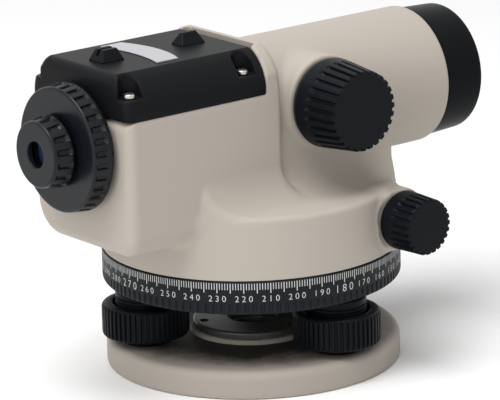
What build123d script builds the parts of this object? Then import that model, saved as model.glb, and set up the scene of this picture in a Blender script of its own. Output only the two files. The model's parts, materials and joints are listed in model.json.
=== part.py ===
from build123d import *
from math import cos, degrees, pi, radians, sin, sqrt
import os

# Automatic level (self-levelling surveyor's telescope), in millimetres.
# +X is the way the telescope looks, +Z is up, and the origin is the middle of the
# base plate's underside, where the tripod screw enters.

os.makedirs("parts", exist_ok=True)

# ---------------------------------------------------------------- driving dimensions
# clearances
fit_gap = 0.05          # running fit between a shaft and its bore, on the radius
seat_gap = 0.02         # pressed or screwed seat inside one body, on the radius
air_gap = 0.3           # between parts that turn past each other

# base plate and tripod thread
base_r = 55.9
base_t = 10.4
base_edge_r = 2.6
boss_r = 23.4
boss_h = 2.0
thread_r = 6.85         # crest radius of the 5/8 inch tripod thread
thread_bush_r = 11.0
disc_r = 22.8
disc_t = 2.8
disc_hole_r = 9.2
disc_pin_r = 1.5
disc_pin_circle_r = 19.8

# foot screws
foot_circle_r = 42.4
foot_start = 39.3       # bearing of the first foot screw, degrees from +X
foot_count = 3
foot_ball_r = 4.5
foot_ball_z = 8.6
foot_neck_r = 2.9
foot_spindle_r = 3.5
foot_spindle_top = 40.0
foot_bush_r = 7.3
foot_bush_flange_r = 8.8
foot_bush_flange_t = 0.8
foot_knob_r = 16.7
foot_knob_z = 13.4
foot_knob_h = 12.8
foot_knob_edge = 1.5
foot_hub_r = 7.5
foot_hub_h = 1.1
foot_ribs = 48
foot_rib_depth = 0.6
foot_rib_gap = 1.0
nut_z = 37.5            # height of the spherical nuts, and of the tilt axes
nut_ball_r = 8.0
nut_neck_r = 6.0
nut_bore_r = 4.0
nut_relief_r = 5.0      # wider bore below the thread, so that the nut can tilt on its screw
nut_relief_top = 33.5
nut_proud = 0.4         # the ball is cut flat this far above the tribrach
sleeve_r = 11.2
sleeve_z = 22.0
sleeve_top = 31.5
sleeve_play = 1.2       # room for the sleeve to tilt in the knob's recess
recess_floor = 5.1      # knob material under the recess

# tribrach, spindle and horizontal circle
tribrach_z = 34.5
tribrach_t = 6.5
rim_w = 4.3
spindle_flange_r = 16.0
spindle_flange_t = 3.0
spindle_r = 9.0
spindle_top = 70.5
spindle_nut_r = 11.5
spindle_nut_t = 2.0
circle_r = 56.6
circle_z = 32.7
circle_h = 12.7
circle_wall = 4.2
circle_flange_t = 2.4
circle_edge = 1.4
tribrach_play = 0.6     # between the tribrach and the wall of the circle

# worm wheel and tangent screw
wheel_teeth = 90
wheel_tip_r = 25.6
wheel_tooth_h = 1.2
wheel_t = 5.0
wheel_hub_r = 13.0
wheel_hub_z = 47.2
wheel_hub_top = 62.6
spring_r = 13.0
tangent_z = 58.0
worm_r = 4.5
worm_len = 24.0
worm_groove = 0.9
tangent_shaft_r = 3.0
tangent_bush_r = 6.5
tangent_boss_r = 11.8
tangent_boss_y = 51.9   # face of the boss, from the middle plane
tangent_knob_len = 15.5
tangent_knob_r = 10.6
tangent_knob_rear_r = 11.2
tangent_slots = 24
knob_play = 0.6         # room around the tangent knobs where the drum is scooped out

# housing
skirt_gap = 0.4         # between the circle and the drum above it
skirt_set_in = 0.3      # the drum stands this far inside the circle's edge
shelf_z = 69.0
shelf_set_in = 1.2      # the drum's taper, on the radius
shelf_edge_r = 1.8
shelf_blend_r = 14.0    # concave sweep from the walls out to the shelf
axis_z = 96.5           # telescope axis
box_rear_x = -77.5
box_front_x = -7.5
box_half_w = 29.8
box_floor_z = 58.5
box_near_corner_r = 8.0
box_far_corner_r = 13.0
seam_z = 109.5          # joint between the housing and its top cover
box_edge_r = 2.2
tube_r = 26.5
tube_front_x = 77.9
tube_edge = 1.1
tube_bore_r = 23.6
pedestal_half_w = 25.8
pedestal_front_x = 50.5
pedestal_top_z = 96.0
chamber_half_w = 20.5
chamber_floor_z = 73.0
chamber_rear_x = -73.5
chamber_front_x = -11.0
drum_wall = 4.6
drum_roof_z = 64.5
bush_r = 14.0
focus_boss_r = 17.4
focus_boss_rise = 1.1   # face of the boss, out from the tube

# top cover, sights and plate
cover_front_x = -14.5
cover_top_z = 126.0
cover_slope_w = 9.3     # width of the rounded slope on each side
cover_shoulder_in = 2.5
cover_shoulder_share = 0.636    # heights on the slope, as shares of the cover's height
cover_side_share = 0.182
cover_wall = 2.4
band_rise = 1.1
screw_set_in = 4.8      # of the screws from the cover's sides
screw_xs = (-73.2, -21.9)
screw_floor_share = 0.485
screw_pocket_r = 3.7
screw_head_r = 2.75
screw_head_t = 2.2
screw_shank_r = 1.45
screw_depth = 6.5
sight_h = 4.4
rear_sight_foot = (12.0, 10.5)
rear_sight_crown = (6.2, 5.4)
front_sight_foot = (13.0, 8.5)
front_sight_crown = (6.6, 1.8)
rear_sight_x = -64.4
front_sight_x = -27.0
notch_w = 1.4
notch_depth = 2.6
plate_half_w = 17.3
plate_outer_x = -41.3
plate_outer_r = 43.0
plate_inner_x = -51.9
plate_inner_r = 57.0
plate_t = 0.4

# objective end
hood_r = 25.4
hood_front_r = 24.6
hood_len = 18.4
hood_bore_r = 21.8
hood_spigot = 4.7
cell_len = 14.0
lens_r = 20.0
lens_t = 7.5
lens_sag = 1.6

# focusing
focus_x = 15.2
focus_rise = 4.9        # of the focusing knob's axis above the telescope's
focus_knob_len = 21.6
focus_knob_r = 15.0
focus_knob_rear_r = 17.0
focus_ribs = 28
focus_shaft_r = 2.5
focus_bush_r = 6.0
pinion_teeth = 12
gear_module = 0.6
rack_y = 18.0           # middle of the rack and pinion, from the middle plane
rack_w = 3.4
rack_back_t = 2.8
rack_room = 7.4         # height of the slot in the guide for the rack
arm_t = 2.4
guide_bore_r = 12.1
guide_wall = 2.4
guide_rear_x = -6.0
guide_len = 52.0
carriage_x = 8.0
carriage_len = 24.0
carriage_bore_r = 9.0
focus_travel = 10.0
focus_lens_inset = 3.0
focus_lens_t = 4.0
focus_lens_sag = 1.0

# eyepiece
mount_flange_r = 20.5
mount_flange_t = 1.9
mount_tube_r = 12.0
mount_tube_end_x = -87.8
mount_inner_r = 12.6
reticle_bay_r = 11.0
mount_inner_x = -60.0
barrel_r = 9.55
barrel_bore_r = 7.0
barrel_eye_x = -93.3
barrel_field_x = -71.0
diopter_travel = 1.5
eye_lens_t = 2.8
eye_lens_sag = 0.9
cap_rear_x = -79.8
cap_face_x = -88.0
cap_rear_r = 24.0
cap_face_r = 23.1
cap_notches = 32
dial_face_x = -97.5
dial_rear_x = -89.5
dial_face_r = 12.2
dial_rear_r = 13.6
dial_hole_r = 4.8
dial_notches = 16
reticle_x = -66.0
reticle_r = 8.0

# compensator
comp_x = -36.0
comp_half_len = 17.0
comp_half_w = 19.5
comp_wall = 2.5
comp_top_z = 107.0
frame_plate_t = 2.0
prism_rear = -7.0       # outline of the fixed prism, seen from the side
prism_front = 6.0
prism_waist = 3.0
prism_half_h = 6.0
wire_len = 4.0
wire_r = 0.15
hanger_x = -30.0        # line of the wires, about which the prism swings
hanger_len = 4.0
hanger_w = 2.0
pendulum_half_w = 12.0
pendulum_x = -34.0
pendulum_len = 12.0
pendulum_z = 79.0       # underside of the swinging block
pendulum_t = 6.0
swing_prism_len = 11.0
swing_prism_flat = 7.0
swing_prism_lip = 4.0
swing_prism_h = 8.0
swing_prism_shift = 5.6
damper_r = 4.0
damper_t = 3.0
damper_dip = 2.0        # of the damper's disc below the block
damper_wall = 1.5
damper_play = 0.5
damper_cup_h = 3.4

# circular bubble and its mirror
vial_x = -14.0
vial_holder_r = 10.2
vial_holder_h = 10.0
vial_r = 8.3
mirror_pin_x = -1.5
mirror_pin_z = 86.5
mirror_pin_r = 1.1
mirror_len = 19.0
mirror_w = 17.0
mirror_t = 2.4
mirror_margin = 1.5
mirror_boss_r = 2.4
mirror_glass_t = 1.0
mirror_angle = 45.0
bracket_len = 18.0
bracket_t = 3.2
bracket_h = 5.0
vial_floor_t = 3.0
vial_set_in = 0.6

# ---------------------------------------------------------------- derived places
z_axis_plane = Plane.XZ
tele_plane = Plane(origin=(0, 0, axis_z), x_dir=(1, 0, 0), z_dir=(0, -1, 0))
tele_axis = Axis((0, 0, axis_z), (1, 0, 0))
boss_top_z = base_t + boss_h
tribrach_r = circle_r - circle_wall - tribrach_play
circle_bore_r = circle_r - 3 * circle_wall
skirt_z = circle_z + circle_h + skirt_gap
skirt_r = circle_r - skirt_set_in
shelf_r = skirt_r - shelf_set_in
drum_bore_r = shelf_r - drum_wall
focus_z = axis_z + focus_rise
focus_boss_y = tube_r + focus_boss_rise
focus_knob_gap = air_gap + 0.2
focus_knob_rear_y = focus_boss_y + focus_knob_gap
focus_knob_face_y = focus_knob_rear_y + focus_knob_len
hood_front_x = tube_front_x + hood_len
cover_h = cover_top_z - seam_z
cover_flat_half_w = box_half_w - cover_slope_w
cover_shoulder = (box_half_w - cover_shoulder_in, seam_z + cover_shoulder_share * cover_h)
cover_side_z = seam_z + cover_side_share * cover_h
screw_y = box_half_w - screw_set_in
screw_floor_z = seam_z + screw_floor_share * cover_h
vial_y = box_half_w + vial_holder_r + air_gap
foot_bush_z = foot_ball_z - foot_ball_r - 1.0
foot_bush_top = base_t + foot_bush_flange_t
knob_recess_r = sleeve_r + sleeve_play
tribrach_top = tribrach_z + tribrach_t
rim_h = circle_z + circle_h - circle_flange_t - air_gap - tribrach_top
circle_top = circle_z + circle_h
worm_x = wheel_tip_r + air_gap + worm_r
foot_angles = [foot_start + 360.0 / foot_count * i for i in range(foot_count)]
foot_points = [(foot_circle_r * cos(radians(a)), foot_circle_r * sin(radians(a))) for a in foot_angles]
focus_plane = Plane(origin=(focus_x, 0, focus_z), x_dir=(0, 1, 0), z_dir=(1, 0, 0))
focus_axis = Axis((focus_x, 0, focus_z), (0, 1, 0))
tangent_plane = Plane(origin=(worm_x, 0, tangent_z), x_dir=(0, 1, 0), z_dir=(1, 0, 0))
tangent_axis = Axis((worm_x, 0, tangent_z), (0, 1, 0))


# ---------------------------------------------------------------- helpers
def keep(piece, name):
    """Label a finished sub-part and write it."""
    piece.part.label = name
    export_step(piece.part, f"parts/{name}.step")


def turn(plane, axis, *points, mode=Mode.ADD):
    """Revolve the closed outline through the points about the axis."""
    with BuildSketch(plane) as profile:
        with BuildLine():
            Polyline(*points, close=True)
        make_face()
    revolve(profile.sketch, axis=axis, mode=mode)


def disc(plane, radius, height, bore=0.0, mode=Mode.ADD):
    """A round bar standing on the plane, with an optional bore."""
    with BuildSketch(plane) as section:
        Circle(radius)
        if bore:
            Circle(bore, mode=Mode.SUBTRACT)
    extrude(section.sketch, amount=height, mode=mode)


def grooves(plane, radius, count, depth, width, length, taper=0.0):
    """Cut a ring of straight grooves whose middles lie in the plane."""
    with Locations(plane):
        with PolarLocations(radius, count):
            Box(2 * depth, width, length, rotation=(0, taper, 0), mode=Mode.SUBTRACT)


def lens(rear_x, front_x, rim, rear_sag, front_sag):
    """A lens on the telescope's axis; each spherical face bulges outwards by its sag."""
    with BuildSketch(tele_plane) as section:
        with BuildLine():
            ends = []
            for x, sag, side in ((front_x, front_sag, 1), (rear_x, rear_sag, -1)):
                ball_r = (rim ** 2 + sag ** 2) / (2 * abs(sag))
                half_sag = sqrt(ball_r ** 2 - rim ** 2 / 4) - (ball_r - abs(sag))
                bulge = side * (1 if sag > 0 else -1)
                ThreePointArc((x, rim), (x + bulge * half_sag, rim / 2), (x + bulge * abs(sag), 0))
                ends.append(x + bulge * abs(sag))
            Line((ends[0], 0), (ends[1], 0))
            Line((front_x, rim), (rear_x, rim))
        make_face()
    revolve(section.sketch, axis=tele_axis)


def level(z, x=0.0, y=0.0):
    """A horizontal plane at a height, over a point."""
    return Plane(origin=(x, y, z))


def along_x(x, y=0.0, z=axis_z):
    """A plane across the telescope, facing +X."""
    return Plane(origin=(x, y, z), x_dir=(0, 1, 0), z_dir=(1, 0, 0))


def facing_y(x, y, z, side=-1):
    """A plane facing out of one side of the instrument."""
    return Plane(origin=(x, y, z), x_dir=(1, 0, 0), z_dir=(0, side, 0))


# ================================================================ base
with BuildPart() as base_plate:
    disc(Plane.XY, base_r, base_t)
    fillet(base_plate.edges().filter_by(GeomType.CIRCLE).sort_by(Axis.Z)[-1], base_edge_r)
    disc(level(base_t), boss_r, boss_h)
    disc(Plane.XY, thread_bush_r + seat_gap, boss_top_z, mode=Mode.SUBTRACT)
    with BuildSketch(level(foot_bush_z - seat_gap)) as foot_wells:
        with Locations(*foot_points):
            Circle(foot_bush_r + seat_gap)
    extrude(foot_wells.sketch, amount=base_t, mode=Mode.SUBTRACT)
keep(base_plate, "base_plate")

with BuildPart() as tripod_bush:
    disc(Plane.XY, thread_bush_r, boss_top_z, bore=thread_r)
keep(tripod_bush, "tripod_bush")

with BuildPart() as clamp_disc:
    disc(level(boss_top_z), disc_r, disc_t, bore=disc_hole_r)
    with BuildSketch(level(boss_top_z)) as disc_pins:
        with PolarLocations(disc_pin_circle_r, foot_count, start_angle=foot_start):
            Circle(disc_pin_r)
    extrude(disc_pins.sketch, amount=disc_t, mode=Mode.SUBTRACT)
    top_rim = clamp_disc.faces().sort_by(Axis.Z)[-1].edges().sort_by(SortBy.RADIUS)[-1]
    fillet(top_rim, disc_t / 4)
keep(clamp_disc, "clamp_disc")

with BuildPart() as foot_bushes:
    lip_r = sqrt(foot_ball_r ** 2 - (base_t - foot_ball_z) ** 2)
    for x, y in foot_points:
        disc(level(foot_bush_z, x, y), foot_bush_r, foot_bush_top - foot_bush_z)
        disc(level(base_t, x, y), foot_bush_flange_r, foot_bush_flange_t)
        disc(level(foot_bush_z + 1.0 - fit_gap, x, y), foot_ball_r + fit_gap, base_t - foot_bush_z - 1.0,
             mode=Mode.SUBTRACT)
        disc(level(base_t - 1.0, x, y), lip_r + fit_gap, foot_bush_flange_t + 1.0, mode=Mode.SUBTRACT)
keep(foot_bushes, "foot_bushes")

# ================================================================ foot screws and their nuts
for mark, (x, y) in zip("abc", foot_points):
    with BuildPart() as foot_screw:
        with Locations((x, y, foot_ball_z)):
            Sphere(foot_ball_r)
        disc(level(foot_ball_z, x, y), foot_neck_r, foot_knob_z - foot_ball_z)
        disc(level(foot_knob_z, x, y), foot_spindle_r, foot_spindle_top - foot_knob_z)
    keep(foot_screw, f"foot_screw_{mark}")

    with BuildPart() as foot_knob:
        foot_axis = Axis((x, y, 0), (0, 0, 1))
        foot_plane = Plane(origin=(x, y, 0), x_dir=(1, 0, 0), z_dir=(0, -1, 0))
        knob_top = foot_knob_z + foot_knob_h
        floor_z = foot_knob_z + recess_floor
        turn(foot_plane, foot_axis,
             (foot_neck_r + seat_gap, foot_knob_z - foot_hub_h), (foot_hub_r, foot_knob_z - foot_hub_h),
             (foot_hub_r, foot_knob_z), (foot_knob_r - foot_knob_edge, foot_knob_z),
             (foot_knob_r, foot_knob_z + foot_knob_edge), (foot_knob_r, knob_top - foot_knob_edge),
             (foot_knob_r - foot_knob_edge, knob_top), (knob_recess_r, knob_top), (knob_recess_r, floor_z),
             (foot_spindle_r + seat_gap, floor_z), (foot_spindle_r + seat_gap, foot_knob_z - seat_gap),
             (foot_neck_r + seat_gap, foot_knob_z - seat_gap))
        grooves(level(foot_knob_z + foot_knob_h / 2, x, y), foot_knob_r, foot_ribs, foot_rib_depth,
                foot_rib_gap, foot_knob_h)
    keep(foot_knob, f"foot_knob_{mark}")

    with BuildPart() as foot_nut:
        with Locations((x, y, nut_z)):
            Sphere(nut_ball_r)
        disc(level(sleeve_top, x, y), nut_neck_r, nut_z - sleeve_top)
        disc(level(sleeve_z, x, y), sleeve_r, sleeve_top - sleeve_z)
        disc(level(tribrach_z + tribrach_t + nut_proud, x, y), nut_ball_r, nut_ball_r, mode=Mode.SUBTRACT)
        disc(level(sleeve_z, x, y), nut_bore_r, nut_z, mode=Mode.SUBTRACT)
        disc(level(sleeve_z, x, y), nut_relief_r, nut_relief_top - sleeve_z, mode=Mode.SUBTRACT)
    keep(foot_nut, f"foot_nut_{mark}")

# ================================================================ tribrach and spindle
with BuildPart() as tribrach:
    turn(z_axis_plane, Axis.Z, (0, tribrach_z), (tribrach_r, tribrach_z),
         (tribrach_r, tribrach_top + rim_h),
         (tribrach_r - rim_w, tribrach_top + rim_h), (tribrach_r - rim_w, tribrach_top), (0, tribrach_top))
    for x, y in foot_points:
        with Locations((x, y, nut_z)):
            Sphere(nut_ball_r + fit_gap, mode=Mode.SUBTRACT)
        disc(level(tribrach_z, x, y), nut_ball_r + fit_gap, nut_z - tribrach_z, mode=Mode.SUBTRACT)
        disc(level(nut_z, x, y), foot_spindle_r + sleeve_play, tribrach_t, mode=Mode.SUBTRACT)
keep(tribrach, "tribrach")

with BuildPart() as spindle:
    disc(level(tribrach_top), spindle_flange_r, spindle_flange_t)
    disc(level(tribrach_top), spindle_r, spindle_top - tribrach_top)
    disc(level(spindle_top), spindle_r / 2, spindle_nut_t)
keep(spindle, "spindle")

with BuildPart() as spindle_nut:
    disc(level(spindle_top), spindle_nut_r, spindle_nut_t, bore=spindle_r / 2 + seat_gap)
keep(spindle_nut, "spindle_nut")

with BuildPart() as clutch_spring:
    spring_base = tribrach_top + spindle_flange_t
    spring_rise = wheel_hub_z - spring_base - air_gap
    leaf_t = 0.9
    turn(z_axis_plane, Axis.Z, (spindle_r + air_gap, spring_base + spring_rise - leaf_t),
         (spring_r, spring_base), (spring_r, spring_base + leaf_t),
         (spindle_r + air_gap, spring_base + spring_rise))
keep(clutch_spring, "clutch_spring")

with BuildPart() as circle_ring:
    turn(z_axis_plane, Axis.Z, (circle_r - circle_wall, circle_z), (circle_r - circle_edge, circle_z),
         (circle_r, circle_z + circle_edge), (circle_r, circle_top), (circle_bore_r, circle_top),
         (circle_bore_r, circle_top - circle_flange_t),
         (circle_r - circle_wall, circle_top - circle_flange_t))
keep(circle_ring, "circle_ring")

with BuildPart() as worm_wheel:
    disc(level(wheel_hub_z), wheel_hub_r, wheel_hub_top - wheel_hub_z)
    disc(level(tangent_z - wheel_t / 2), wheel_tip_r, wheel_t)
    tooth_gap = pi * wheel_tip_r / wheel_teeth
    grooves(level(tangent_z), wheel_tip_r, wheel_teeth, wheel_tooth_h, tooth_gap, wheel_t)
    disc(level(wheel_hub_z), spindle_r + fit_gap, wheel_hub_top - wheel_hub_z, mode=Mode.SUBTRACT)
keep(worm_wheel, "worm_wheel")

# ================================================================ housing
# the concave sweep under each wall is a stack of sections that widen towards the shelf
blend_heights = [0.0, 0.08, 0.22, 0.44, 0.7, 1.0]


def blend_sections(rear_x, front_x, half_w, corner_r):
    """Sections of a footprint that flares out as a quarter round towards the shelf."""
    sections = []
    for share in blend_heights:
        rise = share * shelf_blend_r
        spread = shelf_blend_r - sqrt(shelf_blend_r ** 2 - (shelf_blend_r - rise) ** 2)
        with BuildSketch(level(shelf_z + rise, (rear_x + front_x) / 2)) as section:
            RectangleRounded(front_x - rear_x + 2 * spread, 2 * (half_w + spread), corner_r + spread)
        sections.append(section.sketch)
    return sections


with BuildPart() as box_sweep:
    loft(blend_sections(box_rear_x, box_front_x, box_half_w - air_gap, box_edge_r), ruled=True)
    disc(level(shelf_z), shelf_r, shelf_blend_r, mode=Mode.INTERSECT)

with BuildPart() as pedestal_sweep:
    loft(blend_sections(box_front_x - shelf_blend_r, pedestal_front_x, pedestal_half_w, box_edge_r),
         ruled=True)
    disc(level(shelf_z), shelf_r, shelf_blend_r, mode=Mode.INTERSECT)

with BuildPart() as housing:
    turn(z_axis_plane, Axis.Z, (0, skirt_z), (skirt_r, skirt_z), (shelf_r, shelf_z - shelf_edge_r),
         (shelf_r - shelf_edge_r / 2, shelf_z - shelf_edge_r / 4), (shelf_r - shelf_edge_r, shelf_z),
         (0, shelf_z))
    with BuildSketch(Plane.YZ.offset(box_rear_x)) as box_section:
        with Locations((0, (box_floor_z + seam_z) / 2)):
            Rectangle(2 * box_half_w, seam_z - box_floor_z)
        floor_corners = box_section.vertices().group_by(Axis.Z)[0].sort_by(Axis.Y)
        fillet(floor_corners[0], box_near_corner_r)
        fillet(box_section.vertices().group_by(Axis.Z)[0].sort_by(Axis.Y)[-1], box_far_corner_r)
    extrude(box_section.sketch, amount=box_front_x - box_rear_x)
    # arched band in front of the cover
    with BuildSketch(Plane.YZ.offset(cover_front_x)) as band_section:
        with BuildLine():
            Polyline((-box_half_w, seam_z - 5), (-box_half_w, cover_side_z))
            ThreePointArc((-box_half_w, cover_side_z),
                          (-cover_shoulder[0] - band_rise / 2, cover_shoulder[1] + band_rise / 2),
                          (-cover_flat_half_w, cover_top_z + band_rise / 2))
            ThreePointArc((-cover_flat_half_w, cover_top_z + band_rise / 2), (0, cover_top_z + band_rise),
                          (cover_flat_half_w, cover_top_z + band_rise / 2))
            ThreePointArc((cover_flat_half_w, cover_top_z + band_rise / 2),
                          (cover_shoulder[0] + band_rise / 2, cover_shoulder[1] + band_rise / 2),
                          (box_half_w, cover_side_z))
            Polyline((box_half_w, cover_side_z), (box_half_w, seam_z - 5), (-box_half_w, seam_z - 5))
        make_face()
    extrude(band_section.sketch, amount=box_front_x - cover_front_x)
    # telescope tube with its eased front edge
    turn(tele_plane, tele_axis, (box_front_x - 1, 0), (box_front_x - 1, tube_r),
         (tube_front_x - 2 * tube_edge, tube_r),
         (tube_front_x, tube_r - tube_edge), (tube_front_x, 0))
    # pedestal under the tube
    with BuildSketch(level(shelf_z - 1)) as pedestal_section:
        with Locations(((box_front_x + pedestal_front_x) / 2, 0)):
            Rectangle(pedestal_front_x - box_front_x, 2 * pedestal_half_w)
        Circle(shelf_r, mode=Mode.INTERSECT)
    extrude(pedestal_section.sketch, amount=pedestal_top_z - shelf_z)
    add(box_sweep.part)
    add(pedestal_sweep.part)
    # bosses for the focusing knob and the tangent screw
    disc(facing_y(focus_x, -tube_r / 2, focus_z), focus_boss_r, focus_boss_y - tube_r / 2)
    for side in (-1, 1):
        disc(facing_y(worm_x, side * shelf_r / 2, tangent_z, side), tangent_boss_r,
             tangent_boss_y - shelf_r / 2)

    # hollow for the worm wheel, open below
    disc(level(skirt_z), drum_bore_r, drum_roof_z - skirt_z, mode=Mode.SUBTRACT)
    disc(level(drum_roof_z - 1), bush_r + seat_gap, axis_z - tube_bore_r + 2 - drum_roof_z,
         mode=Mode.SUBTRACT)
    # telescope bore, and the chamber for the compensator, open above
    disc(along_x(chamber_front_x - 1), tube_bore_r, tube_front_x - chamber_front_x + 1, mode=Mode.SUBTRACT)
    with BuildSketch(level(chamber_floor_z)) as chamber:
        with Locations(((chamber_rear_x + chamber_front_x) / 2, 0)):
            RectangleRounded(chamber_front_x - chamber_rear_x, 2 * chamber_half_w, box_near_corner_r)
    extrude(chamber.sketch, amount=seam_z - chamber_floor_z, mode=Mode.SUBTRACT)
    disc(along_x(box_rear_x), mount_inner_r + seat_gap, chamber_rear_x - box_rear_x + 1,
         mode=Mode.SUBTRACT)
    # bores for the tangent screw's bushes and the focusing bush
    for side in (-1, 1):
        disc(facing_y(worm_x, side * drum_bore_r / 2, tangent_z, side), tangent_bush_r + seat_gap,
             tangent_boss_y - drum_bore_r / 2, mode=Mode.SUBTRACT)
        disc(facing_y(worm_x, side * tangent_boss_y, tangent_z, side), tangent_knob_rear_r + knob_play,
             skirt_r,
             mode=Mode.SUBTRACT)
    disc(facing_y(focus_x, -tube_r / 2, focus_z), focus_bush_r + seat_gap, tube_r, mode=Mode.SUBTRACT)
    # seat for the circular bubble, beside the telescope
    disc(level(shelf_z, vial_x, vial_y), vial_holder_r + air_gap, seam_z - shelf_z - vial_holder_h,
         mode=Mode.SUBTRACT)
    # threaded holes for the cover screws
    with BuildSketch(level(seam_z)) as screw_holes:
        with Locations(*[(x, side * screw_y) for x in screw_xs for side in (-1, 1)]):
            Circle(screw_shank_r + seat_gap)
    extrude(screw_holes.sketch, amount=-screw_depth - 1, mode=Mode.SUBTRACT)
keep(housing, "housing")

with BuildPart() as bearing_bush:
    disc(level(drum_roof_z), bush_r, spindle_top - drum_roof_z - air_gap, bore=spindle_r + fit_gap)
keep(bearing_bush, "bearing_bush")

with BuildPart() as worm_bushes:
    for side in (-1, 1):
        disc(facing_y(worm_x, side * (drum_bore_r * 0.72), tangent_z, side), tangent_bush_r,
             tangent_boss_y - drum_bore_r * 0.72, bore=tangent_shaft_r + fit_gap)
keep(worm_bushes, "worm_bushes")

# ================================================================ tangent screw
with BuildPart() as tangent_shaft:
    knob_end_y = tangent_boss_y + tangent_knob_len - 4
    disc(facing_y(worm_x, knob_end_y, tangent_z), tangent_shaft_r, 2 * knob_end_y)
    disc(facing_y(worm_x, worm_len / 2, tangent_z), worm_r, worm_len)
    pitch = 2 * pi * wheel_tip_r / wheel_teeth
    for i in range(int(worm_len / pitch)):
        turn(tangent_plane, tangent_axis, (pitch * i - worm_len / 2 + pitch / 4, worm_r - worm_groove),
             (pitch * i - worm_len / 2 + 3 * pitch / 4, worm_r - worm_groove),
             (pitch * i - worm_len / 2 + 3 * pitch / 4, worm_r),
             (pitch * i - worm_len / 2 + pitch / 4, worm_r),
             mode=Mode.SUBTRACT)
keep(tangent_shaft, "tangent_shaft")

for name, side in (("near", -1), ("far", 1)):
    with BuildPart() as tangent_knob:
        rear = side * (tangent_boss_y + air_gap + 0.2)
        face = rear + side * tangent_knob_len
        edge = side * 1.0
        turn(tangent_plane, tangent_axis, (rear, tangent_shaft_r + seat_gap),
             (rear, tangent_knob_rear_r - 1.0),
             (rear + edge, tangent_knob_rear_r), (face - edge, tangent_knob_r),
             (face, tangent_knob_r - 1.0), (face, 0),
             (side * knob_end_y + edge / 10, 0),
             (side * knob_end_y + edge / 10, tangent_shaft_r + seat_gap))
        tangent_taper = degrees((tangent_knob_rear_r - tangent_knob_r) / tangent_knob_len)
        grooves(facing_y(worm_x, rear + (face - rear) * 0.67, tangent_z, side),
                (tangent_knob_r + tangent_knob_rear_r) / 2,
                tangent_slots, 0.8, 1.2, tangent_knob_len * 0.56, taper=-tangent_taper)
    keep(tangent_knob, f"tangent_knob_{name}")

# ================================================================ top cover and what sits on it
with BuildPart() as top_cover:
    with BuildSketch(Plane.YZ.offset(box_rear_x)) as cover_section:
        with BuildLine():
            Line((-box_half_w, seam_z), (-box_half_w, cover_side_z))
            ThreePointArc((-box_half_w, cover_side_z), (-cover_shoulder[0], cover_shoulder[1]),
                          (-cover_flat_half_w, cover_top_z))
            Line((-cover_flat_half_w, cover_top_z), (cover_flat_half_w, cover_top_z))
            ThreePointArc((cover_flat_half_w, cover_top_z), cover_shoulder, (box_half_w, cover_side_z))
            Polyline((box_half_w, cover_side_z), (box_half_w, seam_z), (-box_half_w, seam_z))
        make_face()
    extrude(cover_section.sketch, amount=cover_front_x - box_rear_x)
    with BuildSketch(level(seam_z)) as cover_hollow:
        with Locations(((box_rear_x + cover_front_x) / 2, 0)):
            RectangleRounded(cover_front_x - box_rear_x - 2 * cover_wall,
                             2 * (cover_flat_half_w - cover_wall),
                             box_near_corner_r)
    extrude(cover_hollow.sketch, amount=cover_top_z - seam_z - cover_wall, mode=Mode.SUBTRACT)
    with BuildSketch(level(screw_floor_z)) as screw_pockets:
        for x in screw_xs:
            for side in (-1, 1):
                with Locations((x, side * screw_y)):
                    Circle(screw_pocket_r)
                with Locations((x, side * (screw_y + screw_pocket_r))):
                    Rectangle(2 * screw_pocket_r, 2 * screw_pocket_r)
    extrude(screw_pockets.sketch, amount=cover_top_z - screw_floor_z, mode=Mode.SUBTRACT)
    with BuildSketch(level(seam_z)) as screw_bores:
        with Locations(*[(x, side * screw_y) for x in screw_xs for side in (-1, 1)]):
            Circle(screw_shank_r + air_gap)
    extrude(screw_bores.sketch, amount=screw_floor_z - seam_z, mode=Mode.SUBTRACT)
keep(top_cover, "top_cover")

with BuildPart() as cover_screws:
    for x in screw_xs:
        for side in (-1, 1):
            disc(level(screw_floor_z, x, side * screw_y), screw_head_r, screw_head_t)
            disc(level(seam_z - screw_depth, x, side * screw_y), screw_shank_r,
                 screw_floor_z - seam_z + screw_depth)
            with BuildSketch(level(screw_floor_z + screw_head_t, x, side * screw_y)) as driver_cross:
                Rectangle(screw_head_r * 1.2, screw_head_t * 0.35)
                Rectangle(screw_head_t * 0.35, screw_head_r * 1.2)
            extrude(driver_cross.sketch, amount=-screw_head_t * 0.5, mode=Mode.SUBTRACT)
keep(cover_screws, "cover_screws")

with BuildPart() as rear_sight:
    with BuildSketch(level(cover_top_z, rear_sight_x)) as rear_foot:
        Rectangle(*rear_sight_foot)
    with BuildSketch(level(cover_top_z + sight_h, rear_sight_x)) as rear_crown:
        Rectangle(*rear_sight_crown)
    loft([rear_foot.sketch, rear_crown.sketch])
    with Locations((rear_sight_x, 0, cover_top_z + sight_h)):
        Box(2 * rear_sight_foot[0], notch_w, 2 * notch_depth, mode=Mode.SUBTRACT)
keep(rear_sight, "rear_sight")

with BuildPart() as front_sight:
    with BuildSketch(level(cover_top_z, front_sight_x)) as front_foot:
        Rectangle(*front_sight_foot)
    with BuildSketch(level(cover_top_z + sight_h, front_sight_x)) as front_crown:
        Rectangle(*front_sight_crown)
    loft([front_foot.sketch, front_crown.sketch])
keep(front_sight, "front_sight")

with BuildPart() as label_plate:
    with BuildSketch(level(cover_top_z)) as plate_outline:
        with Locations((plate_outer_x - plate_outer_r, 0)):
            Circle(plate_outer_r)
        with Locations((plate_inner_x - plate_inner_r, 0)):
            Circle(plate_inner_r, mode=Mode.SUBTRACT)
        with Locations((plate_outer_x - plate_half_w, 0)):
            Rectangle(2 * plate_half_w, 2 * plate_half_w, mode=Mode.INTERSECT)
    extrude(plate_outline.sketch, amount=plate_t)
keep(label_plate, "label_plate")

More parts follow.
